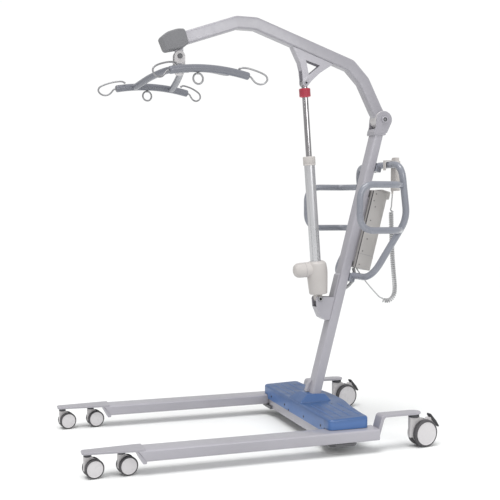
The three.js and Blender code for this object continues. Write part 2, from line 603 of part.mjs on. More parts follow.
function motorHousing() {
  const profile = [[0, 17], [22, 17], [30, 24], [38, 62], [41, 100], [39, 130], [32, HOUSING_TOP - 3],
    [28, HOUSING_TOP], [0, HOUSING_TOP]]
  const body = solid(new THREE.LatheGeometry(profile.map(([r, z]) => new THREE.Vector2(r, z)), 20)
    .rotateX(Math.PI / 2).translate(3, 0, 0))
  const lobe = [[0, -10], [29, -10], [29, 76], [24, 86], [15, 92], [0, 93]]
  const motor = solid(new THREE.LatheGeometry(lobe.map(([r, h]) => new THREE.Vector2(r, h)), 20)
    .rotateZ(Math.PI / 2).translate(0, 0, 116))
  const lug = solid(sidePlate([...arc([0, 0], 13, 180, 360, 6), [13, 24], [-13, 24]], -16, 16))
  const tubeSeat = solid(pinZ(OUTER_TUBE_R + GAP, HOUSING_TOP - 40, HOUSING_TOP + 1, [0, 0], 24))
  place('motor_housing', cut(join(body, motor, lug), tubeSeat, solid(pinY(PIN_R + GAP, -60, 60, [0, 0]))),
    BEIGE_PLASTIC, actuator)
}

function actuatorTubes() {
  const bore = solid(pinZ(ROD_R + 0.5, HOUSING_TOP - 30, TUBE_TOP + 10))
  place('outer_tube', cut(solid(pinZ(OUTER_TUBE_R, HOUSING_TOP - 39, TUBE_TOP - 2, [0, 0], 24)), bore),
    SATIN_ALUMINIUM, actuator)
  const collar = solid(pinZ(COLLAR_R, TUBE_TOP - COLLAR_HEIGHT, TUBE_TOP, [0, 0], 24))
  const sleeve = solid(pinZ(OUTER_TUBE_R + GAP, TUBE_TOP - COLLAR_HEIGHT - 1, TUBE_TOP - 2 + GAP, [0, 0], 24))
  place('tube_collar', cut(collar, sleeve, solid(pinZ(ROD_R + 0.5, 0, TUBE_TOP + 10))),
    SATIN_ALUMINIUM, actuator)
}

const RING_TOP = actuatorSpan - 19.5
const RING_HEIGHT = 34

function actuatorRod() {
  const eyeHalf = 12.5
  const shank = solid(pinZ(ROD_R, ROD_BOTTOM, actuatorSpan - 9))
  const eye = solid(sidePlate(arc([0, actuatorSpan], 13, 0, 340, 17), -eyeHalf, eyeHalf))
  const pinHole = solid(pinY(PIN_R + GAP, -60, 60, [0, actuatorSpan]))
  place('rod', cut(join(shank, eye), pinHole), CHROME, actuator)
  place('upper_pin', position(pinY(PIN_R, -13.4, 13.4, [0, actuatorSpan])), STEEL, actuator)
  const ring = solid(pinZ(RING_R, RING_TOP - RING_HEIGHT, RING_TOP, [0, 0], 20))
  place('release_ring', cut(ring, solid(pinZ(ROD_R + GAP, 0, 2000))), RED_PLASTIC, actuator)
}

// U-shaped bracket on the front of the mast that carries the actuator's lower pin
function actuatorBracket() {
  const face = (z) => mastAxisX(z) - mastHalfX - 0.4
  const outline = [[face(436), 436], [face(524), 524], [297, 528], [293, 520], [296, 488], [314, 446],
    [331, 436]]
  const plates = [[-24, -19], [19, 24]].map(([y0, y1]) => solid(sidePlate(outline, y0, y1)))
  const back = solid(sidePlate([[face(436), 436], [face(616), 616], [face(610) - 6, 610],
    [face(530) - 6, 530], [face(436) - 5, 436]], -22, 22))
  const front = solid(sidePlate([[296, 488], [301, 488], [318, 450], [333, 441], [331, 436], [314, 446]],
    -20, 20))
  const hole = solid(pinY(PIN_R + GAP, -60, 60, LOWER_PIN))
  place('actuator_bracket', cut(join(...plates, back, front), hole), FRAME_PAINT)
  const shank = solid(pinY(PIN_R, -28, 28, LOWER_PIN))
  const head = solid(pinY(10, -29, -24 - GAP, LOWER_PIN))
  const nut = solid(pinY(10, 24 + GAP, 30, LOWER_PIN, 6))
  place('lower_pin', join(shank, head, nut), STEEL)
}

// Push handle: a bent tube from the mast, out, down and back in, with a D-shaped grip in front
function handle(label, side) {
  const mainLoop = bent([[560, 24, 1038], [570, 188, 1038], [595, 188, 832], [457, 168, 607], [449, 24, 607]],
    [58, 26, 44])
  const grip = bent([[566, 188, 958], [520, 248, 958], [367, 254, 958], [367, 254, 789], [520, 248, 789],
    [568, 188, 789]], [24, 60, 60, 24])
  const pad = (z, y0, y1) => solid(block([MAST_DEPTH / 2 + GAP, y0, -17], [MAST_DEPTH / 2 + 24, y1, 17])
    .rotateY(MAST_LEAN).translate(mastAxisX(z), 0, z))
  const loops = join(solid(tubeThrough(mainLoop, HANDLE_R)), solid(tubeThrough(grip, HANDLE_R - 0.5)))
  const tube = join(loops, pad(1038, 3, 32), pad(607, 3, 32))
  place(`handle_${label}`, mirrorY(tube, side), DARK_PAINT)
}

// Control box below and battery above, on a bracket on the back of the mast
function powerPack() {
  const frame = mastFrame(BOX_MID_Z)
  const back = MAST_DEPTH / 2
  const x0 = back + BOX_GAP
  const x1 = x0 + BOX_DEPTH
  place('box_bracket', block([back + GAP, -22, -130], [x0 - GAP, 22, 130]), STEEL, frame)
  const outline = (inset) => [[x0, -BOX_HALF_WIDTH + inset], [x1 - 16, -BOX_HALF_WIDTH + inset],
    ...arc([x1 - 16, -BOX_HALF_WIDTH + 16 + inset], 16, -75, 0, 4),
    ...arc([x1 - 16, BOX_HALF_WIDTH - 16 - inset], 16, 0, 75, 4), [x1 - 16, BOX_HALF_WIDTH - inset],
    [x0, BOX_HALF_WIDTH - inset]]
  const box = solid(flatPlate(outline(0), BOX_LOW, 8))
  const stopHole = solid(new THREE.CylinderGeometry(11.5, 11.5, 40, 16).rotateZ(Math.PI / 2)
    .translate(x1 + 4, 0, -100))
  place('control_box', cut(box, stopHole), BEIGE_PLASTIC, frame)
  const mushroom = [[0, 0], [10, 0], [10, 16], [14, 18], [14, 23], [11, 26], [0, 27]]
  const stop = new THREE.LatheGeometry(mushroom.map(([r, h]) => new THREE.Vector2(r, h)), 16)
  place('emergency_stop', stop.rotateZ(-Math.PI / 2).translate(x1 - 12, 0, -100), RED_PLASTIC, frame)
  const battery = solid(flatPlate(outline(1), 8 + GAP, 160))
  const grip = solid(block([x1 - 30, -34, 140], [x1 + 14, 34, 172]))
  const fingers = solid(block([x1 + 1, -28, 120], [x1 + 8, 28, 166]))
  place('battery', cut(join(battery, grip), fingers), BEIGE_PLASTIC, frame)
}

// Handset hanging by its hook from the left handle's top tube
const CORD_EXIT = [588, -83]
const HANDSET = { x: 593, y: -98, low: 938, high: 1062, halfDepth: 11, halfWidth: 21 }

function handset() {
  const { x, y, low, high, halfDepth, halfWidth } = HANDSET
  const x0 = x - halfDepth
  const tubeTop = 1038 + HANDLE_R
  const body = solid(flatPlate([[x0, y - halfWidth], [x + halfDepth, y - halfWidth],
    [x + halfDepth, y + halfWidth], [x0, y + halfWidth]], low, high - 8))
  const hookShape = [[x0 + 4, high - 8], [x0 + 4, high], [x0 - 2, high], [x0 - 12, tubeTop + 4.5],
    [x0 - 34, tubeTop + 4.5], [x0 - 38, tubeTop - 1], [x0 - 38, tubeTop - 34], [x0 - 34.5, tubeTop - 34],
    [x0 - 34.5, tubeTop + 1.5], [x0, tubeTop + 1.5], [x0, high - 20], [x0 + 4, high - 20]]
  const hookPart = solid(sidePlate(hookShape.reverse(), y - 9, y + 9))
  const buttonHole = (z) => solid(block([x + halfDepth - 3, y - 9.3, z - 9.3], [x + halfDepth + 5, y + 9.3, z + 9.3]))
  const heights = { up: low + 84, down: low + 56 }
  const neck = solid(pinZ(4, low - 12, low + 2, CORD_EXIT, 12))
  place('handset', cut(join(body, hookPart, neck), buttonHole(heights.up), buttonHole(heights.down)),
    BEIGE_PLASTIC)
  for (const [label, z] of Object.entries(heights)) {
    place(`handset_button_${label}`, block([x + halfDepth - 1.4, y - 9, z - 9],
      [x + halfDepth + 1.6, y + 9, z + 9]), BLACK_PLASTIC)
  }
}

// Handset cord: thin lead, curled stretch, thin lead back up into the control box
const BOX_ENTRY = onMast(BOX_MID_Z, [40, -26, BOX_LOW - 1.9])
const CORD_UPPER = [[...CORD_EXIT, HANDSET.low - 12 - GAP], [587, -82, 905], [586, -81, 885], [585, -80, 864]]
const CORD_CURL = [[585, -80, 863.3], [586, -81, 800], [588, -82, 730], [592, -83, 660], [598, -83, 600],
  [602, -82, 556], [597, -81, 528], [582, -80, 512], [564, -79, 510], [552, -78, 514]]
const CORD_LOWER = [[551.2, -78, 514.8], [538, -74, 526], [522, -67, 545], [506, -56, 566], [490, -44, 590],
  [478, -35, 610], [469, -29, 625], BOX_ENTRY]
const CABLE_ENTRY = onMast(BOX_MID_Z, [44, 9, BOX_LOW - 3.6])

function cords() {
  place('handset_cord_upper', position(bar(CORD_UPPER, CORD_R, 8, 8)), WHITE_PLASTIC)
  place('handset_cord_curl', position(bar(CORD_CURL, CURL_R, 8, 22)), WHITE_PLASTIC)
  place('handset_cord_lower', position(bar(CORD_LOWER, CORD_R, 8, 22)), WHITE_PLASTIC)
  place('actuator_cable', position(bar([[423.2, 12, 551], [433, 12, 555], [449, 12, 566], [463, 12, 582],
    [471, 11, 602], [471, 10, 618], CABLE_ENTRY], 6.5, 8, 10)), BEIGE_PLASTIC)
}

crossbeam()
baseCover()
mast()
boomPivotBolt()
boom()
boomEndPad()
boomGusset()
hanger()
spreaderFrame()
motorHousing()
actuatorTubes()
actuatorRod()
actuatorBracket()
powerPack()
handset()
cords()
for (const [label, side] of SIDES) {
  pivotPlate(label, side)
  legPivotBolt(label, side)
  leg(label, side)
  handle(label, side)
  spreaderBar(label, side)
  hangRing(label, side)
  hook(`front_${label}`, -1, side)
  hook(`rear_${label}`, 1, side)
  castor(`castor_front_${label}`, FRONT_CASTOR, [FRONT_STEM_X[0], side * LEG_Y],
    FRONT_PLATE_TOP - FRONT_PLATE_THICK, false)
  castor(`castor_middle_${label}`, FRONT_CASTOR, [FRONT_STEM_X[1], side * LEG_Y],
    FRONT_PLATE_TOP - FRONT_PLATE_THICK, false)
  castor(`castor_rear_${label}`, REAR_CASTOR, [REAR_STEM_X, side * LEG_Y], REAR_ARM_BOTTOM, true)
}

export default hoist
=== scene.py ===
"""Patient lift hoist: the look of every piece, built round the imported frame.

Shapes are lists of vertices and faces in millimetres, in the shared frame or in the frame of the part that
carries them: the leaning mast, the actuator, a castor. piece() scales them to metres.
"""
import math

import bmesh
import bpy
from mathutils import Matrix, Vector


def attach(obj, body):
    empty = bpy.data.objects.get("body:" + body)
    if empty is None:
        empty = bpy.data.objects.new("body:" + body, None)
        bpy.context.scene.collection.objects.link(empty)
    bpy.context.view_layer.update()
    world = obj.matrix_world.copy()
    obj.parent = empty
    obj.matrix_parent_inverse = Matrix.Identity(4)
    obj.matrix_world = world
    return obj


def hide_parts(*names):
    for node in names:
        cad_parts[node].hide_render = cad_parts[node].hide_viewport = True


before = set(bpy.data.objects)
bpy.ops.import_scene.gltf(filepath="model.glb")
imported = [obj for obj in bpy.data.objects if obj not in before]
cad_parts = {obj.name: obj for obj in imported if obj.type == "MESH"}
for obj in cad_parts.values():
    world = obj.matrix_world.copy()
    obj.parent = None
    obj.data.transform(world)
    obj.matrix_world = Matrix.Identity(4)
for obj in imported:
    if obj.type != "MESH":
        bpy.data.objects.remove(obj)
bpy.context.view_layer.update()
SCENE = bpy.context.scene
MM = 0.001
SIDES = {"left": -1, "right": 1}
ENDS = {"front": -1, "rear": 1}
IDENTITY = Matrix.Identity(4)


# ---------------------------------------------------------------- camera

CAMERA_LENS = 63.58
CAMERA_SENSOR = 36
CAMERA_PLACE = (-1.03755, -3.17401, 0.86872)
CAMERA_TURN = (87.33, 0, -18.60)


def make_camera():
    data = bpy.data.cameras.new("camera")
    data.lens = CAMERA_LENS
    data.sensor_width = CAMERA_SENSOR
    camera = bpy.data.objects.new("camera", data)
    camera.location = CAMERA_PLACE
    camera.rotation_euler = [math.radians(a) for a in CAMERA_TURN]
    SCENE.collection.objects.link(camera)
    SCENE.camera = camera


make_camera()


# ---------------------------------------------------------------- shapes

MOST_OF_SIDE = 0.48  # what one rounded corner can take of a side
BEVEL_ANGLE = math.radians(32)


def arc(centre, radius, start, end, steps):
    """Points of an arc in a plane, with its angles in degrees."""
    angles = [math.radians(start + (end - start) * i / steps) for i in range(steps + 1)]
    return [(centre[0] + radius * math.cos(a), centre[1] + radius * math.sin(a)) for a in angles]


def corner_curve(a, corner, b, steps):
    """A curve from a to b that sets out towards the corner and arrives from it."""
    return [a.lerp(corner, t).lerp(corner.lerp(b, t), t) for t in (j / steps for j in range(steps + 1))]


def rounded(corners, reach, steps=6):
    """A closed outline with curved corners that start a reach before each one: one reach, or one for each."""
    outline = []
    count = len(corners)
    reaches = reach if isinstance(reach, tuple) else (reach,) * count
    for i, corner in enumerate(corners):
        here = Vector(corner)
        before = Vector(corners[i - 1]) - here
        after = Vector(corners[(i + 1) % count]) - here
        near = min(reaches[i], before.length * MOST_OF_SIDE, after.length * MOST_OF_SIDE)
        a = here + before.normalized() * near
        b = here + after.normalized() * near
        outline += [tuple(p) for p in corner_curve(a, here, b, steps)]
    return outline


def bent(corners, reaches, steps):
    """An open path through corners, each rounded by a curve that starts its reach before it."""
    path = [Vector(corners[0])]
    for i, reach in enumerate(reaches, 1):
        here = Vector(corners[i])
        a = here + (Vector(corners[i - 1]) - here).normalized() * reach
        b = here + (Vector(corners[i + 1]) - here).normalized() * reach
        path += corner_curve(a, here, b, steps)
    return path + [Vector(corners[-1])]


def curve_through(points, per_span):
    """A centripetal Catmull-Rom curve through the points."""
    points = [Vector(p) for p in points]
    ends = [points[0] * 2 - points[1]] + points + [points[-1] * 2 - points[-2]]
    path = []
    for i in range(1, len(ends) - 2):
        p0, p1, p2, p3 = ends[i - 1:i + 3]
        d0, d1, d2 = ((b - a).length ** 0.5 for a, b in ((p0, p1), (p1, p2), (p2, p3)))
        m1 = (p1 - p0) / d0 - (p2 - p0) / (d0 + d1) + (p2 - p1) / d1
        m2 = (p2 - p1) / d1 - (p3 - p1) / (d1 + d2) + (p3 - p2) / d2
        for j in range(per_span):
            t = j / per_span
            path.append(p1 * (2 * t ** 3 - 3 * t ** 2 + 1) + m1 * d1 * (t ** 3 - 2 * t ** 2 + t)
                        + p2 * (3 * t ** 2 - 2 * t ** 3) + m2 * d1 * (t ** 3 - t ** 2))
    return path + [points[-1]]


def extrude(outline, low, high, axis="Y"):
    """A plate of an outline. The outline is in XZ for axis Y, XY for Z and YZ for X."""
    def put(u, v, h):
        return {"X": (h, u, v), "Y": (u, h, v), "Z": (u, v, h)}[axis]

    count = len(outline)
    verts = [put(u, v, h) for h in (low, high) for u, v in outline]
    faces = [tuple(range(count)), tuple(reversed(range(count, 2 * count)))]
    faces += [(i, (i + 1) % count, count + (i + 1) % count, count + i) for i in range(count)]
    return verts, faces


def bands(rings, count, closed=False):
    """The faces between rings of count vertices each; closed joins the last ring to the first."""
    return [(i * count + k, i * count + (k + 1) % count,
             (i + 1) % rings * count + (k + 1) % count, (i + 1) % rings * count + k)
            for i in range(rings if closed else rings - 1) for k in range(count)]


def caps(rings, count):
    """The faces that close the first and the last ring."""
    return [tuple(range(count)), tuple(range((rings - 1) * count, rings * count))]


def spun(profile, steps):
    """The vertices of (radius, height) points turned round the Z axis."""
    angles = [2 * math.pi * k / steps for k in range(steps)]
    return [(r * math.cos(a), r * math.sin(a), h) for r, h in profile for a in angles]


def lathe(profile, steps=64):
    """An open profile turned round the Z axis, with its ends closed."""
    return spun(profile, steps), bands(len(profile), steps) + caps(len(profile), steps)


def ring_lathe(profile, steps=64):
    """A closed profile turned round the Z axis: a ring with a hole."""
    return spun(profile, steps), bands(len(profile), steps, closed=True)


def loft(rings):
    """A skin over rings of vertices, closed over the last one."""
    count = len(rings[0])
    return [p for ring in rings for p in ring], bands(len(rings), count) + caps(len(rings), count)[1:]


def rect(u0, v0, u1, v1):
    return [(u0, v0), (u1, v0), (u1, v1), (u0, v1)]


def circle(radius, steps):
    return arc((0, 0), radius, 0, 360 - 360 / steps, steps - 1)


def round_rect(width, height, radius, steps):
    w, h = width / 2 - radius, height / 2 - radius
    return [p for cx, cy, a in ((w, h, 0), (-w, h, 90), (-w, -h, 180), (w, -h, 270))
            for p in arc((cx, cy), radius, a, a + 90, steps)]


def frames_along(path, side):
    """The side and up directions at each point of a path, turned as little as possible along it."""
    result = []
    side = Vector(side)
    for i in range(len(path)):
        tangent = (path[min(i + 1, len(path) - 1)] - path[max(i - 1, 0)]).normalized()
        side = (side - tangent * side.dot(tangent)).normalized()
        result.append((side, tangent.cross(side)))
    return result


def mitres(path):
    """How much wider the section is where the path turns, so that a bent tube keeps its depth."""
    factors = [1.0] * len(path)
    for i in range(1, len(path) - 1):
        turn = (path[i] - path[i - 1]).angle(path[i + 1] - path[i])
        factors[i] = 1 / math.cos(turn / 2)
    return factors


def sweep(path, section, side=(0, 1, 0)):
    """A section carried along a path: its first coordinate lies along side."""
    path = [Vector(p) for p in path]
    stations = zip(path, frames_along(path, side), mitres(path))
    verts = [tuple(p + s * u + t * v * mitre) for p, (s, t), mitre in stations for u, v in section]
    return verts, bands(len(path), len(section)) + caps(len(path), len(section))


def merged(*shapes):
    verts, faces = [], []
    for more_verts, more_faces in shapes:
        faces += [tuple(i + len(verts) for i in face) for face in more_faces]
        verts += more_verts
    return verts, faces


def moved(shape, matrix):
    return [tuple(matrix @ Vector(v)) for v in shape[0]], shape[1]


def mirrored(points, sy):
    """The points on the side that sy gives: -1 for left, 1 for right."""
    return [(x, sy * y, z) for x, y, z in points]


def span(sy, near, far):
    """The low and high Y of something between two distances from the middle, on the side that sy gives."""
    return sorted((sy * near, sy * far))


def at(x, y, z):
    return Matrix.Translation((x, y, z))


def turned(degrees, axis):
    return Matrix.Rotation(math.radians(degrees), 4, axis)


def pin(radius, low, high, edge=0.8):
    """A round bar on the Z axis with small chamfers."""
    profile = [(radius - edge, low), (radius, low + edge), (radius, high - edge), (radius - edge, high)]
    return lathe(profile, 48)


def hexagon(across, low, high):
    return extrude(arc((0, 0), across / math.sqrt(3), 0, 300, 5), low, high, "Z")


def new_mesh(name, shape, place=IDENTITY):
    mesh = bpy.data.meshes.new(name)
    mesh.from_pydata([(place @ Vector(v)) * MM for v in shape[0]], [], shape[1])
    shape_mesh = bmesh.new()
    shape_mesh.from_mesh(mesh)
    bmesh.ops.remove_doubles(shape_mesh, verts=shape_mesh.verts, dist=1e-6)
    bmesh.ops.recalc_face_normals(shape_mesh, faces=shape_mesh.faces)
    shape_mesh.to_mesh(mesh)
    shape_mesh.free()
    return mesh


def add_bevel(obj, width, segments):
    bevel = obj.modifiers.new("edges", "BEVEL")
    bevel.width = width * MM
    bevel.segments = segments
    bevel.limit_method = "ANGLE"
    bevel.angle_limit = BEVEL_ANGLE
    bevel.harden_normals = True


def finished(obj, body, material, nodes=(), bevel=0.0, segments=3, sharp=38):
    """Gives a mesh object its shading, rounded edges, material and body."""
    obj.data.shade_smooth()
    obj.data.set_sharp_from_angle(angle=math.radians(sharp))
    obj.data.materials.clear()
    obj.data.materials.append(material)
    if bevel:
        add_bevel(obj, bevel, segments)
    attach(obj, body)
    if nodes:
        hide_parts(*([nodes] if isinstance(nodes, str) else nodes))
    return obj


def piece(name, shape, body, material, nodes=(), place=IDENTITY, bevel=0.0, segments=3, sharp=38):
    obj = bpy.data.objects.new(name, new_mesh(name, shape, place))
    SCENE.collection.objects.link(obj)
    return finished(obj, body, material, nodes, bevel, segments, sharp)


def refined(node, body, material, bevel):
    """A finer copy of a CAD node: flat faces joined, edges rounded."""
    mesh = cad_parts[node].data.copy()
    fine = bmesh.new()
    fine.from_mesh(mesh)
    bmesh.ops.remove_doubles(fine, verts=fine.verts, dist=1e-5)
    bmesh.ops.dissolve_limit(fine, angle_limit=math.radians(1), verts=fine.verts, edges=fine.edges)
    bmesh.ops.recalc_face_normals(fine, faces=fine.faces)
    fine.to_mesh(mesh)
    fine.free()
    obj = bpy.data.objects.new(f"{node}_look", mesh)
    SCENE.collection.objects.link(obj)
    return finished(obj, body, material, node, bevel)


# ---------------------------------------------------------------- materials

COAT_ROUGHNESS = 0.16
GRAIN_DEPTH = 0.0006


def nodes_of(material):
    material.use_nodes = True
    tree = material.node_tree
    return tree, tree.nodes["Principled BSDF"]


def noise(tree, vector, scale, detail=4.0):
    node = tree.nodes.new("ShaderNodeTexNoise")
    node.inputs["Scale"].default_value = scale
    node.inputs["Detail"].default_value = detail
    tree.links.new(vector, node.inputs["Vector"])
    return node.outputs["Fac"]


def ranged(tree, value, from_low, from_high, to_low, to_high):
    node = tree.nodes.new("ShaderNodeMapRange")
    tree.links.new(value, node.inputs["Value"])
    numbers = {"From Min": from_low, "From Max": from_high, "To Min": to_low, "To Max": to_high}
    for name, number in numbers.items():
        node.inputs[name].default_value = number
    return node.outputs["Result"]


def mixed(tree, factor, a, b):
    """Mixes two colours; each is a colour or a socket."""
    node = tree.nodes.new("ShaderNodeMix")
    node.data_type = "RGBA"
    tree.links.new(factor, node.inputs[0])
    for socket, colour in ((node.inputs[6], a), (node.inputs[7], b)):
        if isinstance(colour, tuple):
            socket.default_value = (*colour, 1)
        else:
            tree.links.new(colour, socket)
    return node.outputs[2]


def scaled(colour, factor):
    return tuple(min(c * factor, 1.0) for c in colour)


def finish(name, slot, colour, roughness, metallic=0.0, mottle=(9, 0.05), grain=(900, 0.08), wear_and_highlight=1.25,
           coat=0.0):
    """A procedural finish: slow colour mottle, fine grain in the bump, uneven gloss and lighter edges, which
    are partly wear and partly a painted highlight.

    mottle is its scale and how much the colour changes, and grain is its scale and its strength.
    """
    material = bpy.data.materials.new(name)
    material["slot"] = slot
    tree, shader = nodes_of(material)
    coords = tree.nodes.new("ShaderNodeTexCoord")
    vector = coords.outputs["Object"]
    scale, amount = mottle
    slow = noise(tree, vector, scale)
    mottling = ranged(tree, slow, 0.3, 0.7, 0, 1)
    base = mixed(tree, mottling, scaled(colour, 1 - amount), scaled(colour, 1 + amount))
    fine = noise(tree, vector, grain[0], 2.0)
    base = mixed(tree, ranged(tree, fine, 0.35, 0.75, 0, 0.35), base, scaled(colour, 1 - 2 * amount))
    geometry = tree.nodes.new("ShaderNodeNewGeometry")
    # Rounded edges are painted lighter: partly wear, partly a painted highlight along them.
    edge = ranged(tree, geometry.outputs["Pointiness"], 0.505, 0.56, 0, 0.75)
    base = mixed(tree, edge, base, scaled(colour, wear_and_highlight))
    tree.links.new(base, shader.inputs["Base Color"])
    patch = noise(tree, vector, scale * 4.3)
    low, high = max(roughness - 0.07, 0.03), min(roughness + 0.09, 1)
    tree.links.new(ranged(tree, patch, 0.3, 0.7, low, high), shader.inputs["Roughness"])
    bump = tree.nodes.new("ShaderNodeBump")
    bump.inputs["Strength"].default_value = grain[1]
    bump.inputs["Distance"].default_value = GRAIN_DEPTH
    tree.links.new(fine, bump.inputs["Height"])
    tree.links.new(bump.outputs["Normal"], shader.inputs["Normal"])
    shader.inputs["Metallic"].default_value = metallic
    shader.inputs["Coat Weight"].default_value = coat
    shader.inputs["Coat Roughness"].default_value = COAT_ROUGHNESS
    return material


FRAME_PAINT = finish("frame_paint", "frame_paint", (0.308, 0.300, 0.330), 0.38, grain=(1400, 0.12), coat=0.5)
DARK_PAINT = finish("dark_paint", "dark_paint", (0.205, 0.215, 0.25), 0.30, grain=(1400, 0.10), coat=0.6)
SPREADER_PAINT = finish("spreader_paint", "dark_paint", (0.160, 0.166, 0.193), 0.30, grain=(1400, 0.10),
                        coat=0.6)
PAD_GREY = finish("pad_grey", "pad_grey", (0.185, 0.185, 0.195), 0.60, grain=(700, 0.25))
# Its edges are painted much lighter: a painted highlight along the rounded edges, besides wear.
COVER_BLUE = finish("cover_blue", "cover_blue", (0.038, 0.088, 0.215), 0.36, mottle=(5, 0.03),
                    grain=(800, 0.15), wear_and_highlight=1.9, coat=0.15)
BLACK = finish("black_parts", "black_parts", (0.022, 0.022, 0.025), 0.50, mottle=(20, 0.2),
               grain=(900, 0.25), wear_and_highlight=2.5)
IRON = finish("blackened_iron", "black_parts", (0.075, 0.075, 0.08), 0.45, mottle=(25, 0.15),
              grain=(900, 0.2), wear_and_highlight=1.8)
LIGHT_PLASTIC = finish("light_plastic", "light_plastic", (0.50, 0.485, 0.49), 0.33, grain=(900, 0.12),
                       wear_and_highlight=1.15)
DISC_WHITE = finish("disc_white", "light_plastic", (0.60, 0.585, 0.595), 0.30, grain=(900, 0.1), wear_and_highlight=1.1)
TYRE = finish("castor_wheels", "castor_wheels", (0.06, 0.058, 0.062), 0.68, mottle=(40, 0.15),
              grain=(700, 0.4), wear_and_highlight=1.8)
BEIGE = finish("housing_beige", "housing_beige", (0.475, 0.45, 0.435), 0.45, grain=(850, 0.25), wear_and_highlight=1.12)
BOX_PLASTIC = finish("box_plastic", "housing_beige", (0.375, 0.36, 0.35), 0.40, grain=(850, 0.2), wear_and_highlight=1.15)
STEEL = finish("bright_steel", "bright_steel", (0.30, 0.30, 0.31), 0.36, metallic=0.7, mottle=(30, 0.08),
               grain=(1200, 0.05), wear_and_highlight=1.1)
CHROME = finish("rod_chrome", "rod_chrome", (0.42, 0.41, 0.42), 0.10, metallic=1.0, mottle=(5, 0.05),
                grain=(500, 0.004), wear_and_highlight=1.0)
SATIN = finish("tube_satin", "tube_satin", (0.55, 0.55, 0.565), 0.28, metallic=0.8, mottle=(1.5, 0.03),
               grain=(500, 0.004), wear_and_highlight=1.05)
RED = finish("signal_red", "signal_red", (0.36, 0.027, 0.052), 0.35, grain=(900, 0.12), wear_and_highlight=1.4)
CORD_GREY = finish("cord_grey", "cord_grey", (0.40, 0.40, 0.405), 0.5, grain=(1100, 0.2), wear_and_highlight=1.1)
BUTTON_BLUE = finish("button_blue", "cover_blue", (0.06, 0.11, 0.22), 0.4, grain=(900, 0.15))


# ---------------------------------------------------------------- frames of the leaning parts

LEAN = 14.56
MAST_BASE = (412.2, 600)
TAN_LEAN = math.tan(math.radians(LEAN))
LOWER_PIN = (310.7, 519.6)
ACTUATOR_TILT = math.degrees(math.atan2(-60.2, 830))
ACTUATOR_SPAN = 832.2
ACTUATOR = at(LOWER_PIN[0], 0, LOWER_PIN[1]) @ turned(ACTUATOR_TILT, "Y")
CASTOR_TURN = 8
BOOM_PIVOT = (577.2, 1219.3)
HANGER_PIN = (-243.7, 1425)
GUSSET_PIN = (250.5, 1349.6)
BOX_HEIGHT = 795
CORD_PORT = (40, -26, -153.9)
CABLE_PORT = (44, 9, -155.6)


def mast_x(z):
    return MAST_BASE[0] + (z - MAST_BASE[1]) * TAN_LEAN


def on_mast(z):
    """The mast's frame at a height: Z runs up the mast and +X out of its rear face."""
    return at(mast_x(z), 0, z) @ turned(LEAN, "Y")


# ---------------------------------------------------------------- cords

CORD_ROUTE = [(588, -83, 925.7), (587, -82, 905), (586, -81, 885), (585, -80, 864), (586, -81, 800),
              (588, -82, 730), (592, -83, 660), (598, -83, 600), (602, -82, 556), (597, -81, 528),
              (582, -80, 512), (564, -79, 510), (552, -78, 514), (538, -74, 526), (522, -67, 545),
              (506, -56, 566), (490, -44, 590), (478, -35, 610), (469, -29, 625),
              tuple(on_mast(BOX_HEIGHT) @ Vector(CORD_PORT))]
CABLE_ROUTE = [(423.2, 12, 551), (433, 12, 555), (449, 12, 566), (463, 12, 582), (471, 11, 602),
               (471, 10, 618), tuple(on_mast(BOX_HEIGHT) @ Vector(CABLE_PORT))]
CORD_RADIUS = 2.6
CABLE_RADIUS = 6.5
CURL_RADIUS = 7.0
CURL_PITCH = 7.4
CURL_START = 46
CURL_END = 472
CURL_LEAD = 20
TURN_DELAY = 0.6 * CURL_LEAD
TURN_STEPS = 16


def even_path(points, step):
    """The same path with its points an even step apart."""
    result, left = [points[0]], step
    for a, b in zip(points, points[1:]):
        span = (b - a).length
        while left <= span:
            result.append(a.lerp(b, left / span))
            left += step
        left -= span
    return result


def eased(t):
    """A smooth step from 0 to 1."""
    t = min(max(t, 0), 1)
    return t * t * (3 - 2 * t)


def curled(points):
    """A cord's line that steps off its path, winds round it and steps back on to it."""
    step = CURL_PITCH / TURN_STEPS
    path = even_path(points, step)
    result = []
    angle = 0
    for i, (p, (side, up)) in enumerate(zip(path, frames_along(path, (0, 1, 0)))):
        inside = min(i * step - CURL_START, CURL_END - i * step)
        angle += 2 * math.pi / TURN_STEPS * eased((inside - TURN_DELAY) / CURL_LEAD)
        radius = CURL_RADIUS * eased(inside / CURL_LEAD)
        result.append(p + (side * math.cos(angle) + up * math.sin(angle)) * radius)
    return result


def make_cord(name, points, radius, nodes):
    data = bpy.data.curves.new(name, "CURVE")
    data.dimensions = "3D"
    data.bevel_depth = radius * MM
    data.bevel_resolution = 4
    data.use_fill_caps = True
    spline = data.splines.new("POLY")
    spline.points.add(len(points) - 1)
    for knot, point in zip(spline.points, points):
        knot.co = (*(point * MM), 1)
    data.materials.append(CORD_GREY)
    obj = bpy.data.objects.new(name, data)
    SCENE.collection.objects.link(obj)
    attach(obj, "base")
    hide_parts(*nodes)


def make_cords():
    make_cord("handset_cord", curled(curve_through(CORD_ROUTE, 16)), CORD_RADIUS,
              ["handset_cord_upper", "handset_cord_curl", "handset_cord_lower"])
    make_cord("actuator_lead", curve_through(CABLE_ROUTE, 8), CABLE_RADIUS, ["actuator_cable"])


make_cords()


# ---------------------------------------------------------------- base: cover, crossbeam, mast

COVER_FRONT = 209
COVER_BACK = 363
COVER_END = 347
COVER_CORNER = 20
COVER_WALL = 3.5
COVER_FILLET = 9
REAR_LINE = [(363, 347), (364, 300), (368, 250), (379, 160), (393, 80), (396, 0)]
CORNER_STEPS = 6


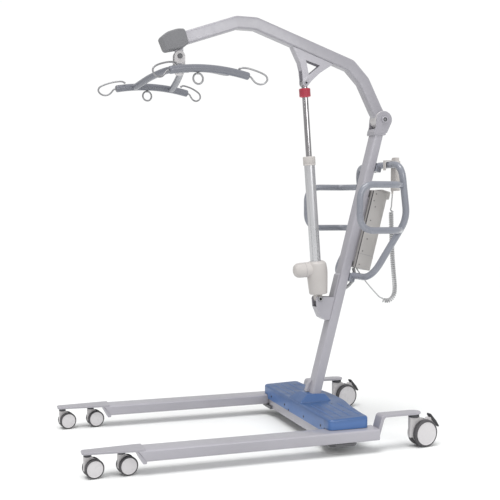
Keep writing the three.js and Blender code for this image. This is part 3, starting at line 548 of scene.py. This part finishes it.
def cover_plan():
    """The cover's outline seen from above, from the middle of its front round to its right and back."""
    rear = [tuple(p)[:2] for p in curve_through([(x, y, 0) for x, y in REAR_LINE], 8)]
    rear = [p for p in rear if p[1] < COVER_END - 2.2 * COVER_CORNER]
    front = [(COVER_FRONT, y) for y in (0, 100, 200, 295, 297)]
    end = [front[-1], (COVER_FRONT, COVER_END), (COVER_BACK, COVER_END), rear[0]]
    one_corner = CORNER_STEPS + 1
    half = front + rounded(end, COVER_CORNER, CORNER_STEPS)[one_corner:3 * one_corner] + rear
    return half + [(x, -y) for x, y in half[-2:0:-1]]


def inset(outline, distance):
    """The outline moved inwards."""
    count = len(outline)
    result = []
    for i, (x, y) in enumerate(outline):
        ax, ay = outline[i - 1]
        bx, by = outline[(i + 1) % count]
        nx, ny = by - ay, ax - bx
        size = math.hypot(nx, ny) or 1
        result.append((x + nx / size * distance, y + ny / size * distance))
    return result


def cover_top(x):
    """Height of the cover's top: a steep front lip, then a gentle rise to the rear."""
    lip = COVER_FRONT + 9
    return 117 + (x - COVER_FRONT) * 7 / 9 if x < lip else 124 + (x - lip) * 6 / 178


def cover_bottom(x, y):
    """Height of the cover's lower edge: lower between the legs, and stepped up over them."""
    return 87.5 if abs(y) > (296 if x < 290 else 246) else 71


def cover_shell():
    plan = cover_plan()
    inner = inset(plan, COVER_WALL)
    rings = [[(x, y, 100) for x, y in inner], [(x, y, cover_bottom(x, y)) for x, y in inner],
             [(x, y, cover_bottom(x, y)) for x, y in plan]]
    for step in range(9):
        angle = math.radians(90 * step / 8)
        drop = COVER_FILLET * (1 - math.sin(angle))
        rings.append([(x, y, cover_top(max(x, COVER_FRONT + 9)) - drop)
                      for x, y in inset(plan, COVER_FILLET * (1 - math.cos(angle)))])
    rings.append([(x, y, cover_top(x)) for x, y in inset(plan, COVER_FILLET + 1.5)])
    piece("cover_shell", loft(rings), "base", COVER_BLUE, "base_cover", sharp=30)


def hump_ring(x0, x1, half, z0, z1, reach):
    """A rounded rectangle that slopes from height z0 at its front to z1 at its rear."""
    ring = rounded(rect(x0, -half, x1, half), reach, 8)
    return [(x, y, z0 + (z1 - z0) * (x - x0) / (x1 - x0)) for x, y in ring]


def cover_hump():
    front, rear = COVER_FRONT + 3, COVER_FRONT + 132
    rings = [hump_ring(front - 1, rear, 66, 112, 124, 5),
             hump_ring(front + 2, rear - 2, 63, 128, 131, 5),
             hump_ring(front + 36, rear - 12, 40, 150, 148, 5),
             hump_ring(front + 40, rear - 16, 36, 152, 150, 4)]
    piece("cover_mast_collar", loft(rings), "base", COVER_BLUE, bevel=2.2, segments=4, sharp=24)


def cover_ribs():
    for side, sy in SIDES.items():
        for i, x in enumerate((240, 272, 306, 342)):
            line = [(x, sy * y, cover_top(x) - 0.2) for y in (104 if x < 340 else 120, 200, 306)]
            rib = sweep(line, arc((0, 0), 1.5, 0, 360, 12)[:-1], (1, 0, 0))
            piece(f"cover_rib_{side}_{i}", rib, "base", COVER_BLUE, sharp=60)


def cover_screws():
    head = lathe([(0, 0.2), (1.9, 0.2), (2.2, 1.0), (3.9, 0.9), (4.6, 0.4), (4.2, -1.5)], 32)
    for i, (y, z) in enumerate([(249.9, 88.5), (97.9, 87.1), (-104.1, 84), (-267.1, 88.2), (53.4, 74.8)]):
        place = at(COVER_FRONT, y, z) @ turned(-90, "Y")
        piece(f"cover_screw_front_{i}", head, "base", BLACK, place=place)
    for i, (x, y) in enumerate([(321.3, 268.6), (314.1, -235.3), (322.3, 159.6), (321.5, -114.7)]):
        piece(f"cover_screw_top_{i}", head, "base", BLACK, place=at(x, y, cover_top(x) - 0.8))


def base_metal():
    refined("crossbeam", "base", FRAME_PAINT, 2.0)
    for side, sy in SIDES.items():
        refined(f"pivot_plate_{side}", "base", IRON, 1.5)
        nut = merged(hexagon(26, 20.5, 32.2), hexagon(24.2, 94.3, 102), pin(9, 19.6, 100, 1))
        piece(f"leg_pivot_{side}", nut, "base", IRON, f"leg_pivot_bolt_{side}", at(259, sy * 318, 0), bevel=1)


def mast():
    low = Vector((mast_x(97), 0, 97))
    top = Vector((mast_x(1174), 0, 1174))
    tube = sweep([low, low.lerp(top, 0.5), top], round_rect(56, 38, 7, 8))
    foot = extrude(rounded(rect(240.9, -46, 324.9, 46), 6), 94.3, 100.3, "Z")
    edge = mast_x(155) - 19.63
    web = extrude([(edge - 13, 155), (edge + 2, 155), (mast_x(202) - 17.6, 202), (mast_x(196) - 23.6, 196),
                   (mast_x(182) - 31.6, 182)], 4, 26)
    piece("mast_tube", tube, "base", FRAME_PAINT, "mast", sharp=50)
    piece("mast_foot", foot, "base", FRAME_PAINT, bevel=1.5)
    piece("mast_web", web, "base", FRAME_PAINT, bevel=1.5)


def mast_head():
    collar = extrude(rounded([(532.1, 1158), (583.1, 1158), (587.1, 1178), (535.1, 1178)], 3), -32.2, 32.2)
    piece("mast_head_collar", collar, "base", FRAME_PAINT, bevel=4, segments=5)
    core = [(533, 1170), (580, 1170), (583, 1183), (537, 1183)]
    piece("mast_head_core", extrude(core, -27.6, 27.6), "base", FRAME_PAINT, bevel=1.5)
    yoke = (arc(BOOM_PIVOT, 33.5, -25, 180, 40) + [(541, 1190), (535.5, 1174)]
            + arc((543.5, 1170.5), 8, 170, 270, 8) + arc((584, 1174), 8, 270, 350, 8))
    for side, sy in SIDES.items():
        plate = extrude(yoke, *span(sy, 27.4, 33))
        piece(f"mast_head_plate_{side}", plate, "base", FRAME_PAINT, bevel=1.6, segments=4)
    centre = at(BOOM_PIVOT[0], 0, BOOM_PIVOT[1])
    left_end = centre @ turned(90, "X")
    head = lathe([(0, 36.5), (4.4, 36.5), (4.6, 40.3), (11.4, 40.3), (13, 38.8), (13, 33.3), (0, 33.3)], 64)
    piece("boom_pivot_head", head, "base", FRAME_PAINT, "boom_pivot_bolt", left_end, sharp=30)
    # A black ring on the head: painted shade of the dark socket hole round the steel centre.
    socket_shade_ring = ring_lathe([(4.4, 39.5), (8.2, 39.5), (8.2, 40.5), (4.4, 40.5)], 48)
    piece("boom_pivot_washer", socket_shade_ring, "base", BLACK, place=left_end)
    piece("boom_pivot_socket", pin(4.3, 36, 38, 0.4), "base", STEEL, place=left_end)
    nut = merged(hexagon(22.5, 33.3, 40), pin(8, -30, 41.3, 1))
    piece("boom_pivot_nut", nut, "base", STEEL, place=centre @ turned(-90, "X"), bevel=0.8)


HANDLE_LOOP = [(560, 24, 1038), (570, 188, 1038), (595, 188, 832), (457, 168, 607), (449, 24, 607)]
HANDLE_GRIP = [(566, 188, 958), (520, 248, 958), (367, 254, 958), (367, 254, 789), (520, 248, 789),
               (568, 188, 789)]


def handles():
    bolt = merged(pin(5.5, 0, 5, 1.2), hexagon(8.5, 0, 3))
    for side, sy in SIDES.items():
        loop = sweep(bent(mirrored(HANDLE_LOOP, sy), [58, 44, 68], 18), circle(13, 32), (0, 0, 1))
        grip = sweep(bent(mirrored(HANDLE_GRIP, sy), [24, 60, 60, 24], 14), circle(12.5, 32), (0, 0, 1))
        piece(f"handle_tube_{side}", loop, "base", DARK_PAINT, f"handle_{side}", sharp=60)
        piece(f"handle_grip_{side}", grip, "base", DARK_PAINT, sharp=60)
        y0, y1 = span(sy, 3, 32)
        pad = extrude(rounded(rect(19.3, y0, 43, y1), 3), -17, 17, "Z")
        for label, z in (("top", 1038), ("bottom", 607)):
            piece(f"handle_pad_{side}_{label}", pad, "base", DARK_PAINT, place=on_mast(z), bevel=2.5)
            place = on_mast(z) @ at(31, sy * 31, 0) @ turned(-90 * sy, "X")
            piece(f"handle_bolt_{side}_{label}", bolt, "base", STEEL, place=place, bevel=0.5)


# ---------------------------------------------------------------- legs and castors

LEG_Y = 342
FRONT_PLATE = [(-455, 303), (-455, 381), (-486, 380), (-627, 367), (-650, 366), (-657.5, 358),
               (-657.5, 326), (-650, 318), (-627, 317), (-486, 304)]
REAR_ARM = [(384, 46), (394, 46), (415, 117), (421, 123), (545.5, 123), (545.5, 132), (413, 132),
            (405, 127), (384, 56)]
END_PLATE = [(-487, 84), (-480, 84), (-449.5, 45), (-451, 39), (-462, 39)]


def legs():
    for side, sy in SIDES.items():
        body = f"leg_{side}"
        verts, faces = sweep([(x, sy * LEG_Y, 66) for x in (-480, -200, 100, 390)], round_rect(78, 40, 7, 6))
        slant = 29 / 40
        verts = [(x + (86 - z) * slant if x < -470 else x, y, z) for x, y, z in verts]
        piece(f"leg_tube_{side}", (verts, faces), body, FRAME_PAINT, body, sharp=50)
        plate = extrude(rounded([(x, sy * y) for x, y in FRONT_PLATE], 5), 81.2, 89, "Z")
        piece(f"leg_front_plate_{side}", plate, body, FRAME_PAINT, bevel=2, segments=4)
        arm = extrude(rounded(REAR_ARM, 5), *span(sy, 317, 367))
        piece(f"leg_rear_arm_{side}", arm, body, FRAME_PAINT, bevel=2, segments=4)
        place = at(545.5, sy * LEG_Y, 0)
        piece(f"leg_rear_boss_{side}", pin(25, 123.4, 131.6, 2), body, FRAME_PAINT, place=place)
        end = extrude(END_PLATE, *span(sy, 304, 380))
        piece(f"leg_end_plate_{side}", end, body, FRAME_PAINT, bevel=1.5)


SMALL_CASTOR = {"wheel": 32, "half": 22, "hood": 6, "stem": 13, "ring": 10, "trail": 19, "top": 81}
BIG_CASTOR = {"wheel": 50, "half": 27, "hood": 7.5, "stem": 20, "ring": 12, "trail": 40, "top": 123}
BRAKE_LUG = [(50, 92), (77, 82), (89, 94), (84, 104), (58, 104)]
BRAKE_PEDAL = [(66, 116), (66, 110.5), (73, 102), (76, 92), (87, 83), (105, 64), (110.5, 67), (97, 88),
               (86, 100), (71, 117.5)]


def castor_fork(label, size, place):
    """The hood between a castor's two wheels, and the black ring on its stem."""
    wheel, hood, stem, top = size["wheel"], size["hood"], size["stem"], size["top"]
    low = top - 0.3 - size["ring"]
    outline = (arc((size["trail"], wheel), wheel * 0.93, 82, -8, 18)
               + arc((size["trail"], wheel), wheel * 0.35, -40, -140, 8)
               + [(-stem, wheel * 0.75), (-stem, low + 1), (stem, low + 1)])
    piece(f"{label}_hood", extrude(outline, -hood, hood), f"{label}_fork", LIGHT_PLASTIC, f"{label}_housing",
          place, bevel=1.8, segments=4)
    ring = lathe([(0, low), (stem - 1.5, low), (stem, low + 1.5), (stem, top - 1.8),
                  (stem - 1.5, top - 0.3), (0, top - 0.3)])
    piece(f"{label}_stem", ring, f"{label}_fork", BLACK, place=place)


def castor_wheels(label, size, place):
    wheel, half, hood = size["wheel"], size["half"], size["hood"]
    hub = wheel * 0.84
    edge = wheel * 0.13
    tread = [(hub, hood + 4), (hub, half - 1), (hub + 1.2, half)]
    tread += arc((wheel - edge, half - edge), edge, 90, 0, 8)
    tread += [(wheel, half * 0.62), (wheel - 0.5, half * 0.6), (wheel - 0.5, half * 0.57),
              (wheel, half * 0.55), (wheel, hood + 3.5), (wheel - 2.5, hood + 1), (hub, hood + 1)]
    disc = [(0, half - 1.0), (wheel * 0.3, half - 1.1), (wheel * 0.6, half - 1.5), (hub - 2.6, half - 2.1),
            (hub - 1.2, half - 1.2), (hub - 0.2, half - 0.5), (hub, half - 1.5), (hub, hood + 1.5),
            (0, hood + 1.5)]
    body = f"{label}_wheel"
    centre = place @ at(size["trail"], 0, wheel)
    for end, turn in (("left", 90), ("right", -90)):
        spot = centre @ turned(turn, "X")
        nodes = f"{label}_wheels" if end == "left" else ()
        piece(f"{label}_tyre_{end}", ring_lathe(tread, 72), body, TYRE, nodes, spot, sharp=50)
        piece(f"{label}_disc_{end}", lathe(disc, 64), body, DISC_WHITE, (), spot, sharp=30)
    axle = pin(wheel * 0.1, -half + 2, half - 2)
    piece(f"{label}_axle", axle, body, STEEL, place=centre @ turned(90, "X"))


def castor_brake(label, size, place):
    lug = extrude(rounded(BRAKE_LUG, 3), -size["hood"], size["hood"])
    piece(f"{label}_brake_lug", lug, f"{label}_fork", LIGHT_PLASTIC, place=place, bevel=1.5)
    pedal = extrude(rounded(BRAKE_PEDAL, 3), -10, 10)
    piece(f"{label}_pedal_blade", pedal, f"{label}_pedal", BLACK, f"{label}_brake_pedal", place, bevel=2.5,
          segments=4)


def castor(label, size, x, y):
    place = at(x, y, 0) @ turned(CASTOR_TURN, "Z")
    castor_fork(label, size, place)
    castor_wheels(label, size, place)
    if size is BIG_CASTOR:
        castor_brake(label, size, place)


def castors():
    for side, sy in SIDES.items():
        castor(f"castor_front_{side}", SMALL_CASTOR, -637.5, sy * LEG_Y)
        castor(f"castor_middle_{side}", SMALL_CASTOR, -527, sy * LEG_Y)
        castor(f"castor_rear_{side}", BIG_CASTOR, 545.5, sy * LEG_Y)


# ---------------------------------------------------------------- boom, hanger and spreader

BOOM_LINE = [(577.2, 1219.3), (555, 1250.5), (496, 1366.5), (438.5, 1425.8), (50.5, 1561), (-25.5, 1561.5),
             (-289, 1469.3)]
END_PAD = [(-292, 1440), (-300, 1445), (-316, 1484), (-311, 1494), (-292, 1508.5), (-256, 1521.5),
           (-233, 1522.5), (-227, 1517), (-214, 1474), (-217, 1468), (-234.8, 1452.5), (-266.5, 1445.5)]


def boom():
    path = bent([(x, 0, z) for x, z in BOOM_LINE], [5] * 5, 4)
    piece("boom_tube", sweep(path, round_rect(44, 47, 7, 8)), "boom", FRAME_PAINT, "boom", sharp=50)
    barrel = lathe([(9, -26.5), (33.3, -26.5), (34.5, -25.3), (34.5, 25.3), (33.3, 26.5), (9, 26.5)], 72)
    piece("boom_pivot_barrel", barrel, "boom", LIGHT_PLASTIC, (),
          at(BOOM_PIVOT[0], 0, BOOM_PIVOT[1]) @ turned(90, "X"))
    x, z = HANGER_PIN
    tongue = [(x - 15, z + 40), (x + 15, z + 40), (x + 15, z)] + arc((x, z), 15, 0, -180, 20)
    piece("boom_tongue", extrude(tongue, -7, 7), "boom", FRAME_PAINT, bevel=1.5)
    pad = extrude(rounded(END_PAD, 9), -33, 33)
    piece("end_pad_shell", pad, "boom", PAD_GREY, "boom_end_pad", bevel=7, segments=6, sharp=30)
    refined("boom_gusset", "boom", FRAME_PAINT, 1.4)
    socket = lathe([(0, 21), (5.6, 21), (5.6, 22.9), (4.6, 23), (0, 23)], 32)
    for side, sy in SIDES.items():
        place = at(GUSSET_PIN[0], 0, GUSSET_PIN[1]) @ turned(-90 * sy, "X")
        piece(f"gusset_bolt_{side}", socket, "boom", BLACK, place=place)
    bolt = merged(pin(6, -22, 22, 1), lathe([(0, 17), (9, 17), (9, 20.5), (7, 22.6), (0, 22.8)], 48))
    piece("hanger_bolt_look", bolt, "boom", IRON, "hanger_bolt", at(x, 0, z) @ turned(90, "X"))
    nut = hexagon(17, 17, 23)
    piece("hanger_bolt_nut", nut, "boom", STEEL, place=at(x, 0, z) @ turned(-90, "X"), bevel=0.8)


def hanger():
    x, z = HANGER_PIN
    cheek = arc((x, z), 20, 0, 180, 30) + [(x - 20, 1402), (x + 20, 1402)]
    for side, sy in SIDES.items():
        plate = extrude(cheek, *span(sy, 8.5, 16))
        piece(f"fork_cheek_{side}", plate, "hanger", LIGHT_PLASTIC, bevel=1.6, segments=4)
    stem = lathe([(0, 1358.3), (13.5, 1358.3), (15, 1359.8), (15, 1364.5), (13.5, 1366), (8, 1366.3),
                  (8, 1393), (9, 1394.2), (21.5, 1394.2), (23, 1395.8), (23, 1400.6), (21.5, 1402),
                  (0, 1402)], 64)
    piece("fork_stem", stem, "hanger", LIGHT_PLASTIC, "hanger_fork", at(x, 0, 0), sharp=30)


SPREADER_TURN = 9.5
BAR_Y = 262
BAR_HALF = 150
WIRE = 3.2
HOOK_SPLAY = math.radians(17)
HOOK_STRAIGHT = 9
HOOK_LINE = [(2.6, 0), (9, -3), (16, -12), (27, -22), (43, -26), (58, -21), (67, -9), (63, 3), (47, 13),
             (22, 22), (-4, 28), (-24, 29), (-33, 25)]


def bar_z(x):
    return 1329 + 16 * (1 - (x / BAR_HALF) ** 2)


def spreader_arms(place):
    hub = ring_lathe([(9, 1369), (28, 1369), (30, 1371), (30, 1389), (28, 1391), (9, 1391)], 64)
    piece("spreader_hub", hub, "spreader", SPREADER_PAINT, "spreader_frame", place, sharp=30)
    arm = [(6, 10, 1380), (28, 50, 1379), (56, 140, 1364), (75, 240.5, bar_z(75)), (75, 250, bar_z(75))]
    for end, sx in ENDS.items():
        for side, sy in SIDES.items():
            path = curve_through([(sx * x, sy * y, z) for x, y, z in arm], 14)
            tube = sweep(path, circle(12.5, 32), (0, 0, 1))
            piece(f"spreader_arm_{end}_{side}", tube, "spreader", SPREADER_PAINT, (), place, sharp=60)


def bar_and_ring(side, sy, place):
    line = [(BAR_HALF * i / 12, sy * BAR_Y, bar_z(BAR_HALF * i / 12)) for i in range(-12, 13)]
    piece(f"bar_{side}", sweep(line, circle(13.5, 36)), "spreader", SPREADER_PAINT, f"spreader_bar_{side}",
          place, bevel=5, segments=5, sharp=50)
    x = -44 if side == "left" else -22
    top = bar_z(x) - 14.9
    loop = [Vector((x + 18 * math.cos(a), sy * BAR_Y, top - 20.2 + 18 * math.sin(a)))
            for a in (2 * math.pi * k / 64 for k in range(65))]
    stud = moved(pin(4.5, top - 6, top + 1), at(x, sy * BAR_Y, 0))
    ring = merged(sweep(loop, circle(WIRE, 20)), stud)
    piece(f"ring_{side}", ring, "spreader", STEEL, f"bar_ring_{side}", place, sharp=50)


def hook(side, sy, end, sx, place):
    """An open wire hook, which leaves the bar's end straight and then splays outwards."""
    line = []
    for s, t in HOOK_LINE:
        straight = min(max(s, 0), HOOK_STRAIGHT)
        splayed = max(s - HOOK_STRAIGHT, 0) if s > 0 else s
        line.append((sx * (BAR_HALF + 0.3 + straight + splayed * math.cos(HOOK_SPLAY)),
                     sy * (BAR_Y + splayed * math.sin(HOOK_SPLAY)), 1329 + t))
    wire = sweep(curve_through(line, 10), circle(WIRE, 20))
    ball = moved(lathe(arc((0, 0), 4.2, -90, 90, 12), 24), at(*line[-1]))
    piece(f"hook_{end}_{side}", merged(wire, ball), "spreader", STEEL, f"sling_hook_{end}_{side}", place,
          sharp=60)


def spreader():
    place = at(HANGER_PIN[0], 0, 0) @ turned(SPREADER_TURN, "Z")
    spreader_arms(place)
    for side, sy in SIDES.items():
        bar_and_ring(side, sy, place)
        for end, sx in ENDS.items():
            hook(side, sy, end, sx, place)


# ---------------------------------------------------------------- actuator

LOBE_HEIGHT = 116


def actuator_barrel():
    case = lathe([(0, 17), (31, 17), (34, 18.2), (35.5, 21), (37, 40), (38.6, 62), (40, 82), (41, 100),
                  (40.6, 116), (39, 130), (37.5, 137), (32, 143), (28, 146), (0, 146)], 96)
    piece("motor_case", case, "actuator_barrel", BEIGE, "motor_housing", ACTUATOR @ at(3, 0, 0), sharp=24)
    forwards = ACTUATOR @ at(0, 0, LOBE_HEIGHT) @ turned(-90, "Y")
    lobe = lathe([(0, -10), (29, -10), (29, 66), (28.3, 76), (26, 82), (21, 89), (15, 92), (0, 93)], 72)
    piece("motor_lobe", lobe, "actuator_barrel", BEIGE, (), forwards, sharp=24)
    seam = ring_lathe([(28.6, 48), (29.25, 48.3), (29.25, 49.1), (28.6, 49.4)], 72)
    piece("motor_lobe_seam", seam, "actuator_barrel", PAD_GREY, (), forwards)
    lug = arc((0, 0), 13, 180, 360, 24) + [(13, 24), (-13, 24)]
    piece("motor_lug", extrude(lug, -16, 16), "actuator_barrel", BEIGE, (), ACTUATOR, bevel=2)
    tube = lathe([(0, 107), (20.5, 107), (20.5, 550), (0, 550)], 72)
    piece("outer_tube_look", tube, "actuator_barrel", SATIN, "outer_tube", ACTUATOR, sharp=40)
    collar = lathe([(0, 518), (22.6, 518), (24, 519.4), (24, 523), (23.2, 524), (24, 525), (24, 550),
                    (22, 552), (0, 552)], 72)
    piece("tube_collar_look", collar, "actuator_barrel", BEIGE, "tube_collar", ACTUATOR, sharp=40)


def actuator_rod():
    rod = lathe([(0, 378), (11.5, 378), (11.5, 823.2), (0, 823.2)], 64)
    piece("rod_look", rod, "actuator_rod", CHROME, "rod", ACTUATOR, sharp=40)
    across = ACTUATOR @ at(0, 0, ACTUATOR_SPAN) @ turned(90, "X")
    piece("rod_eye", pin(13, -12.5, 12.5, 1.5), "actuator_rod", STEEL, (), across)
    piece("upper_pin_look", pin(6, -13.4, 13.4, 1), "actuator_rod", STEEL, "upper_pin", across)


def release_ring():
    low, high = 778.7, 812.7
    grip = [(12, low)]
    for i in range(7):
        z = low + 3 + i * 4.2
        grip += [(22 if 0 < i else 21, z), (22, z + 0.6), (21.3, z + 2.2), (22, z + 3.6)]
    grip += [(21.4, high - 1), (20, high), (12, high)]
    piece("release_ring_look", ring_lathe(grip, 72), "release_ring", RED, "release_ring", ACTUATOR, sharp=40)


def actuator_mount():
    refined("actuator_bracket", "base", FRAME_PAINT, 1.2)
    left_head = lathe([(0, 24.2), (10, 24.2), (10, 27), (8.6, 28), (0, 28)], 48)
    right_head = lathe([(0, -28), (8.6, -28), (10, -27), (10, -24.2), (0, -24.2)], 48)
    bolt = merged(pin(6, -28, 28, 1), left_head, right_head)
    piece("lower_pin_look", bolt, "base", STEEL, "lower_pin",
          at(LOWER_PIN[0], 0, LOWER_PIN[1]) @ turned(90, "X"), sharp=30)


# ---------------------------------------------------------------- control box, battery and handset

CASE_SCREWS = [(38, 146), (35, 118), (46, 96), (40, 40), (44, -34), (37, -84), (36, -138)]


def box_plan(shrink=0.0):
    """The box's outline in the mast's frame, with its two rear corners well rounded."""
    return rounded(rect(25 + shrink, -50 + shrink, 93 - shrink, 50 - shrink), (4, 18, 18, 4), 10)


def control_box(place):
    refined("box_bracket", "base", FRAME_PAINT, 1.5)
    case = extrude(box_plan(), -152, 7, "Z")
    piece("control_case", case, "base", BOX_PLASTIC, "control_box", place, bevel=3.5, segments=5)
    piece("control_gap", extrude(box_plan(1.8), 6, 8, "Z"), "base", BLACK, place=place)


def box_lines(place):
    """Black strips along the box's front edges, painted shade for the dark gap between the box and the mast,
    and the seam round the control box.
    """
    for body, low, high in (("base", -150, 5), ("battery", 12, 156)):
        for side, sy in SIDES.items():
            y0, y1 = span(sy, 42, 47.5)
            # Painted shade: a black strip where the gap between box and mast lies in shade.
            strip = extrude(rounded(rect(23.8, y0, 26, y1), 0.8), low, high, "Z")
            piece(f"{body}_box_gap_shade_{side}", strip, body, BLACK, (), place, bevel=0.4)
    piece("control_seam", extrude(box_plan(-0.05), -96, -94.8, "Z"), "base", PAD_GREY, place=place)


def battery(place):
    case = extrude(box_plan(1), 8.3, 160, "Z")
    piece("battery_case", case, "battery", BOX_PLASTIC, "battery", place, bevel=4, segments=5)
    grip = extrude(rounded(rect(63, -34, 107, 34), 9), 140, 172, "Z")
    piece("battery_grip", grip, "battery", BOX_PLASTIC, (), place, bevel=4, segments=5)


def emergency_stop(place):
    button = lathe([(0, 0), (10, 0), (10, 16), (12.6, 17.2), (14, 18.4), (14, 23), (13, 24.8), (11, 26),
                    (8, 26.6), (0, 26.9)], 64)
    rearwards = place @ at(81, 0, -100) @ turned(90, "Y")
    piece("stop_button", button, "emergency_stop", RED, "emergency_stop", rearwards, sharp=30)


def case_screws(place):
    dot = lathe([(0, 0.5), (2.2, 0.5), (2.6, -1)], 32)
    for side, sy in SIDES.items():
        for i, (x, z) in enumerate(CASE_SCREWS):
            body, out = ("battery", 49) if z > 8 else ("base", 50)
            spot = place @ at(x, sy * out, z) @ turned(-90 * sy, "X")
            piece(f"case_screw_{side}_{i}", dot, body, BLACK, place=spot)


def power_pack():
    place = on_mast(BOX_HEIGHT)
    control_box(place)
    box_lines(place)
    battery(place)
    emergency_stop(place)
    case_screws(place)


def handset():
    def block(x0, z0, x1, z1):
        return extrude(rect(x0, z0, x1, z1), -107, -89)

    case = extrude(rounded(rect(582, -119, 604, -77), 5), 938, 1054, "Z")
    piece("handset_case", case, "base", BEIGE, "handset", bevel=3.5, segments=5)
    strap = merged(block(580, 1042, 586, 1062), block(544, 1052.5, 582, 1055.5),
                   block(544, 1017, 547.5, 1054))
    piece("handset_hook", strap, "base", BEIGE, bevel=0.7)
    head = extrude(rounded(rect(584, -113, 602, -83), 4), 1050, 1067, "Z")
    piece("handset_head", head, "base", BEIGE, bevel=2.5, segments=4)
    neck = lathe([(0, 926), (3.4, 926), (3.8, 932), (4, 936), (5, 940), (0, 940)], 32)
    piece("handset_neck", neck, "base", BEIGE, place=at(588, -83, 0))
    for label, z in (("up", 1022), ("down", 994)):
        button = extrude(rounded(rect(-107, z - 9, -89, z + 9), 4), 602.6, 605.6, "X")
        piece(f"button_{label}", button, f"button_{label}", BUTTON_BLUE, f"handset_button_{label}", bevel=1,
              segments=4)


# ---------------------------------------------------------------- stage and light

FLOOR_REACH = 9000
FLAG_RADIUS = 2600
SKY_LIGHT = 0.64
SKY_SEEN = 1.02


def stage():
    slab = extrude(rect(-FLOOR_REACH, -FLOOR_REACH, FLOOR_REACH, FLOOR_REACH), -8, -0.4, "Z")
    floor = bpy.data.objects.new("floor", new_mesh("floor", slab))
    SCENE.collection.objects.link(floor)
    material = bpy.data.materials.new("studio_floor")
    tree, shader = nodes_of(material)
    coords = tree.nodes.new("ShaderNodeTexCoord")
    patches = noise(tree, coords.outputs["Object"], 1.3)
    tree.links.new(mixed(tree, patches, (0.86, 0.87, 0.865), (0.9, 0.905, 0.9)), shader.inputs["Base Color"])
    shader.inputs["Roughness"].default_value = 0.7
    shader.inputs["Specular IOR Level"].default_value = 0.2
    floor.data.materials.append(material)


def area_light(name, place, target, size, power):
    data = bpy.data.lights.new(name, "AREA")
    data.size = size
    data.energy = power
    light = bpy.data.objects.new(name, data)
    light.location = place
    light.rotation_euler = (Vector(target) - Vector(place)).to_track_quat("-Z", "Y").to_euler()
    SCENE.collection.objects.link(light)


def sky():
    """A white background for the camera, and a weaker light from it for everything else."""
    world = bpy.data.worlds.new("studio")
    SCENE.world = world
    world.use_nodes = True
    tree = world.node_tree
    background = tree.nodes["Background"]
    background.inputs["Color"].default_value = (1, 1, 1, 1)
    path = tree.nodes.new("ShaderNodeLightPath")
    strength = ranged(tree, path.outputs["Is Camera Ray"], 0, 1, SKY_LIGHT, SKY_SEEN)
    tree.links.new(strength, background.inputs["Strength"])


def overhead_light():
    data = bpy.data.lights.new("overhead", "SUN")
    data.energy = 1.9
    data.angle = math.radians(34)
    light = bpy.data.objects.new("overhead", data)
    light.rotation_euler = (math.radians(14), math.radians(-12), 0)
    SCENE.collection.objects.link(light)


def flags():
    """Two black boards out of the camera's sight, which the metal reflects."""
    for name, azimuth in (("flag_left", -166), ("flag_right", -50)):
        board = extrude(rect(-220, 100, 220, 2100), -5, 5)
        place = turned(azimuth + 90, "Z") @ at(0, -FLAG_RADIUS, 0)
        flag = bpy.data.objects.new(name, new_mesh(name, board, place))
        black = bpy.data.materials.new(name)
        nodes_of(black)[1].inputs["Base Color"].default_value = (0.02, 0.02, 0.02, 1)
        flag.data.materials.append(black)
        flag.visible_camera = False
        flag.visible_shadow = False
        flag.visible_diffuse = False
        SCENE.collection.objects.link(flag)


def lights():
    sky()
    overhead_light()
    area_light("side_fill", (0.9, -3.6, 2.0), (0, 0, 0.8), 1.4, 34)
    area_light("edge_strip", (-3.4, -1.1, 1.6), (0.3, 0, 0.9), 0.35, 5.5)
    flags()
    SCENE.view_settings.view_transform = "Standard"


def main():
    cover_shell()
    cover_hump()
    cover_ribs()
    cover_screws()
    base_metal()
    mast()
    mast_head()
    handles()
    legs()
    castors()
    boom()
    hanger()
    spreader()
    actuator_barrel()
    actuator_rod()
    release_ring()
    actuator_mount()
    power_pack()
    handset()
    stage()
    lights()


main()
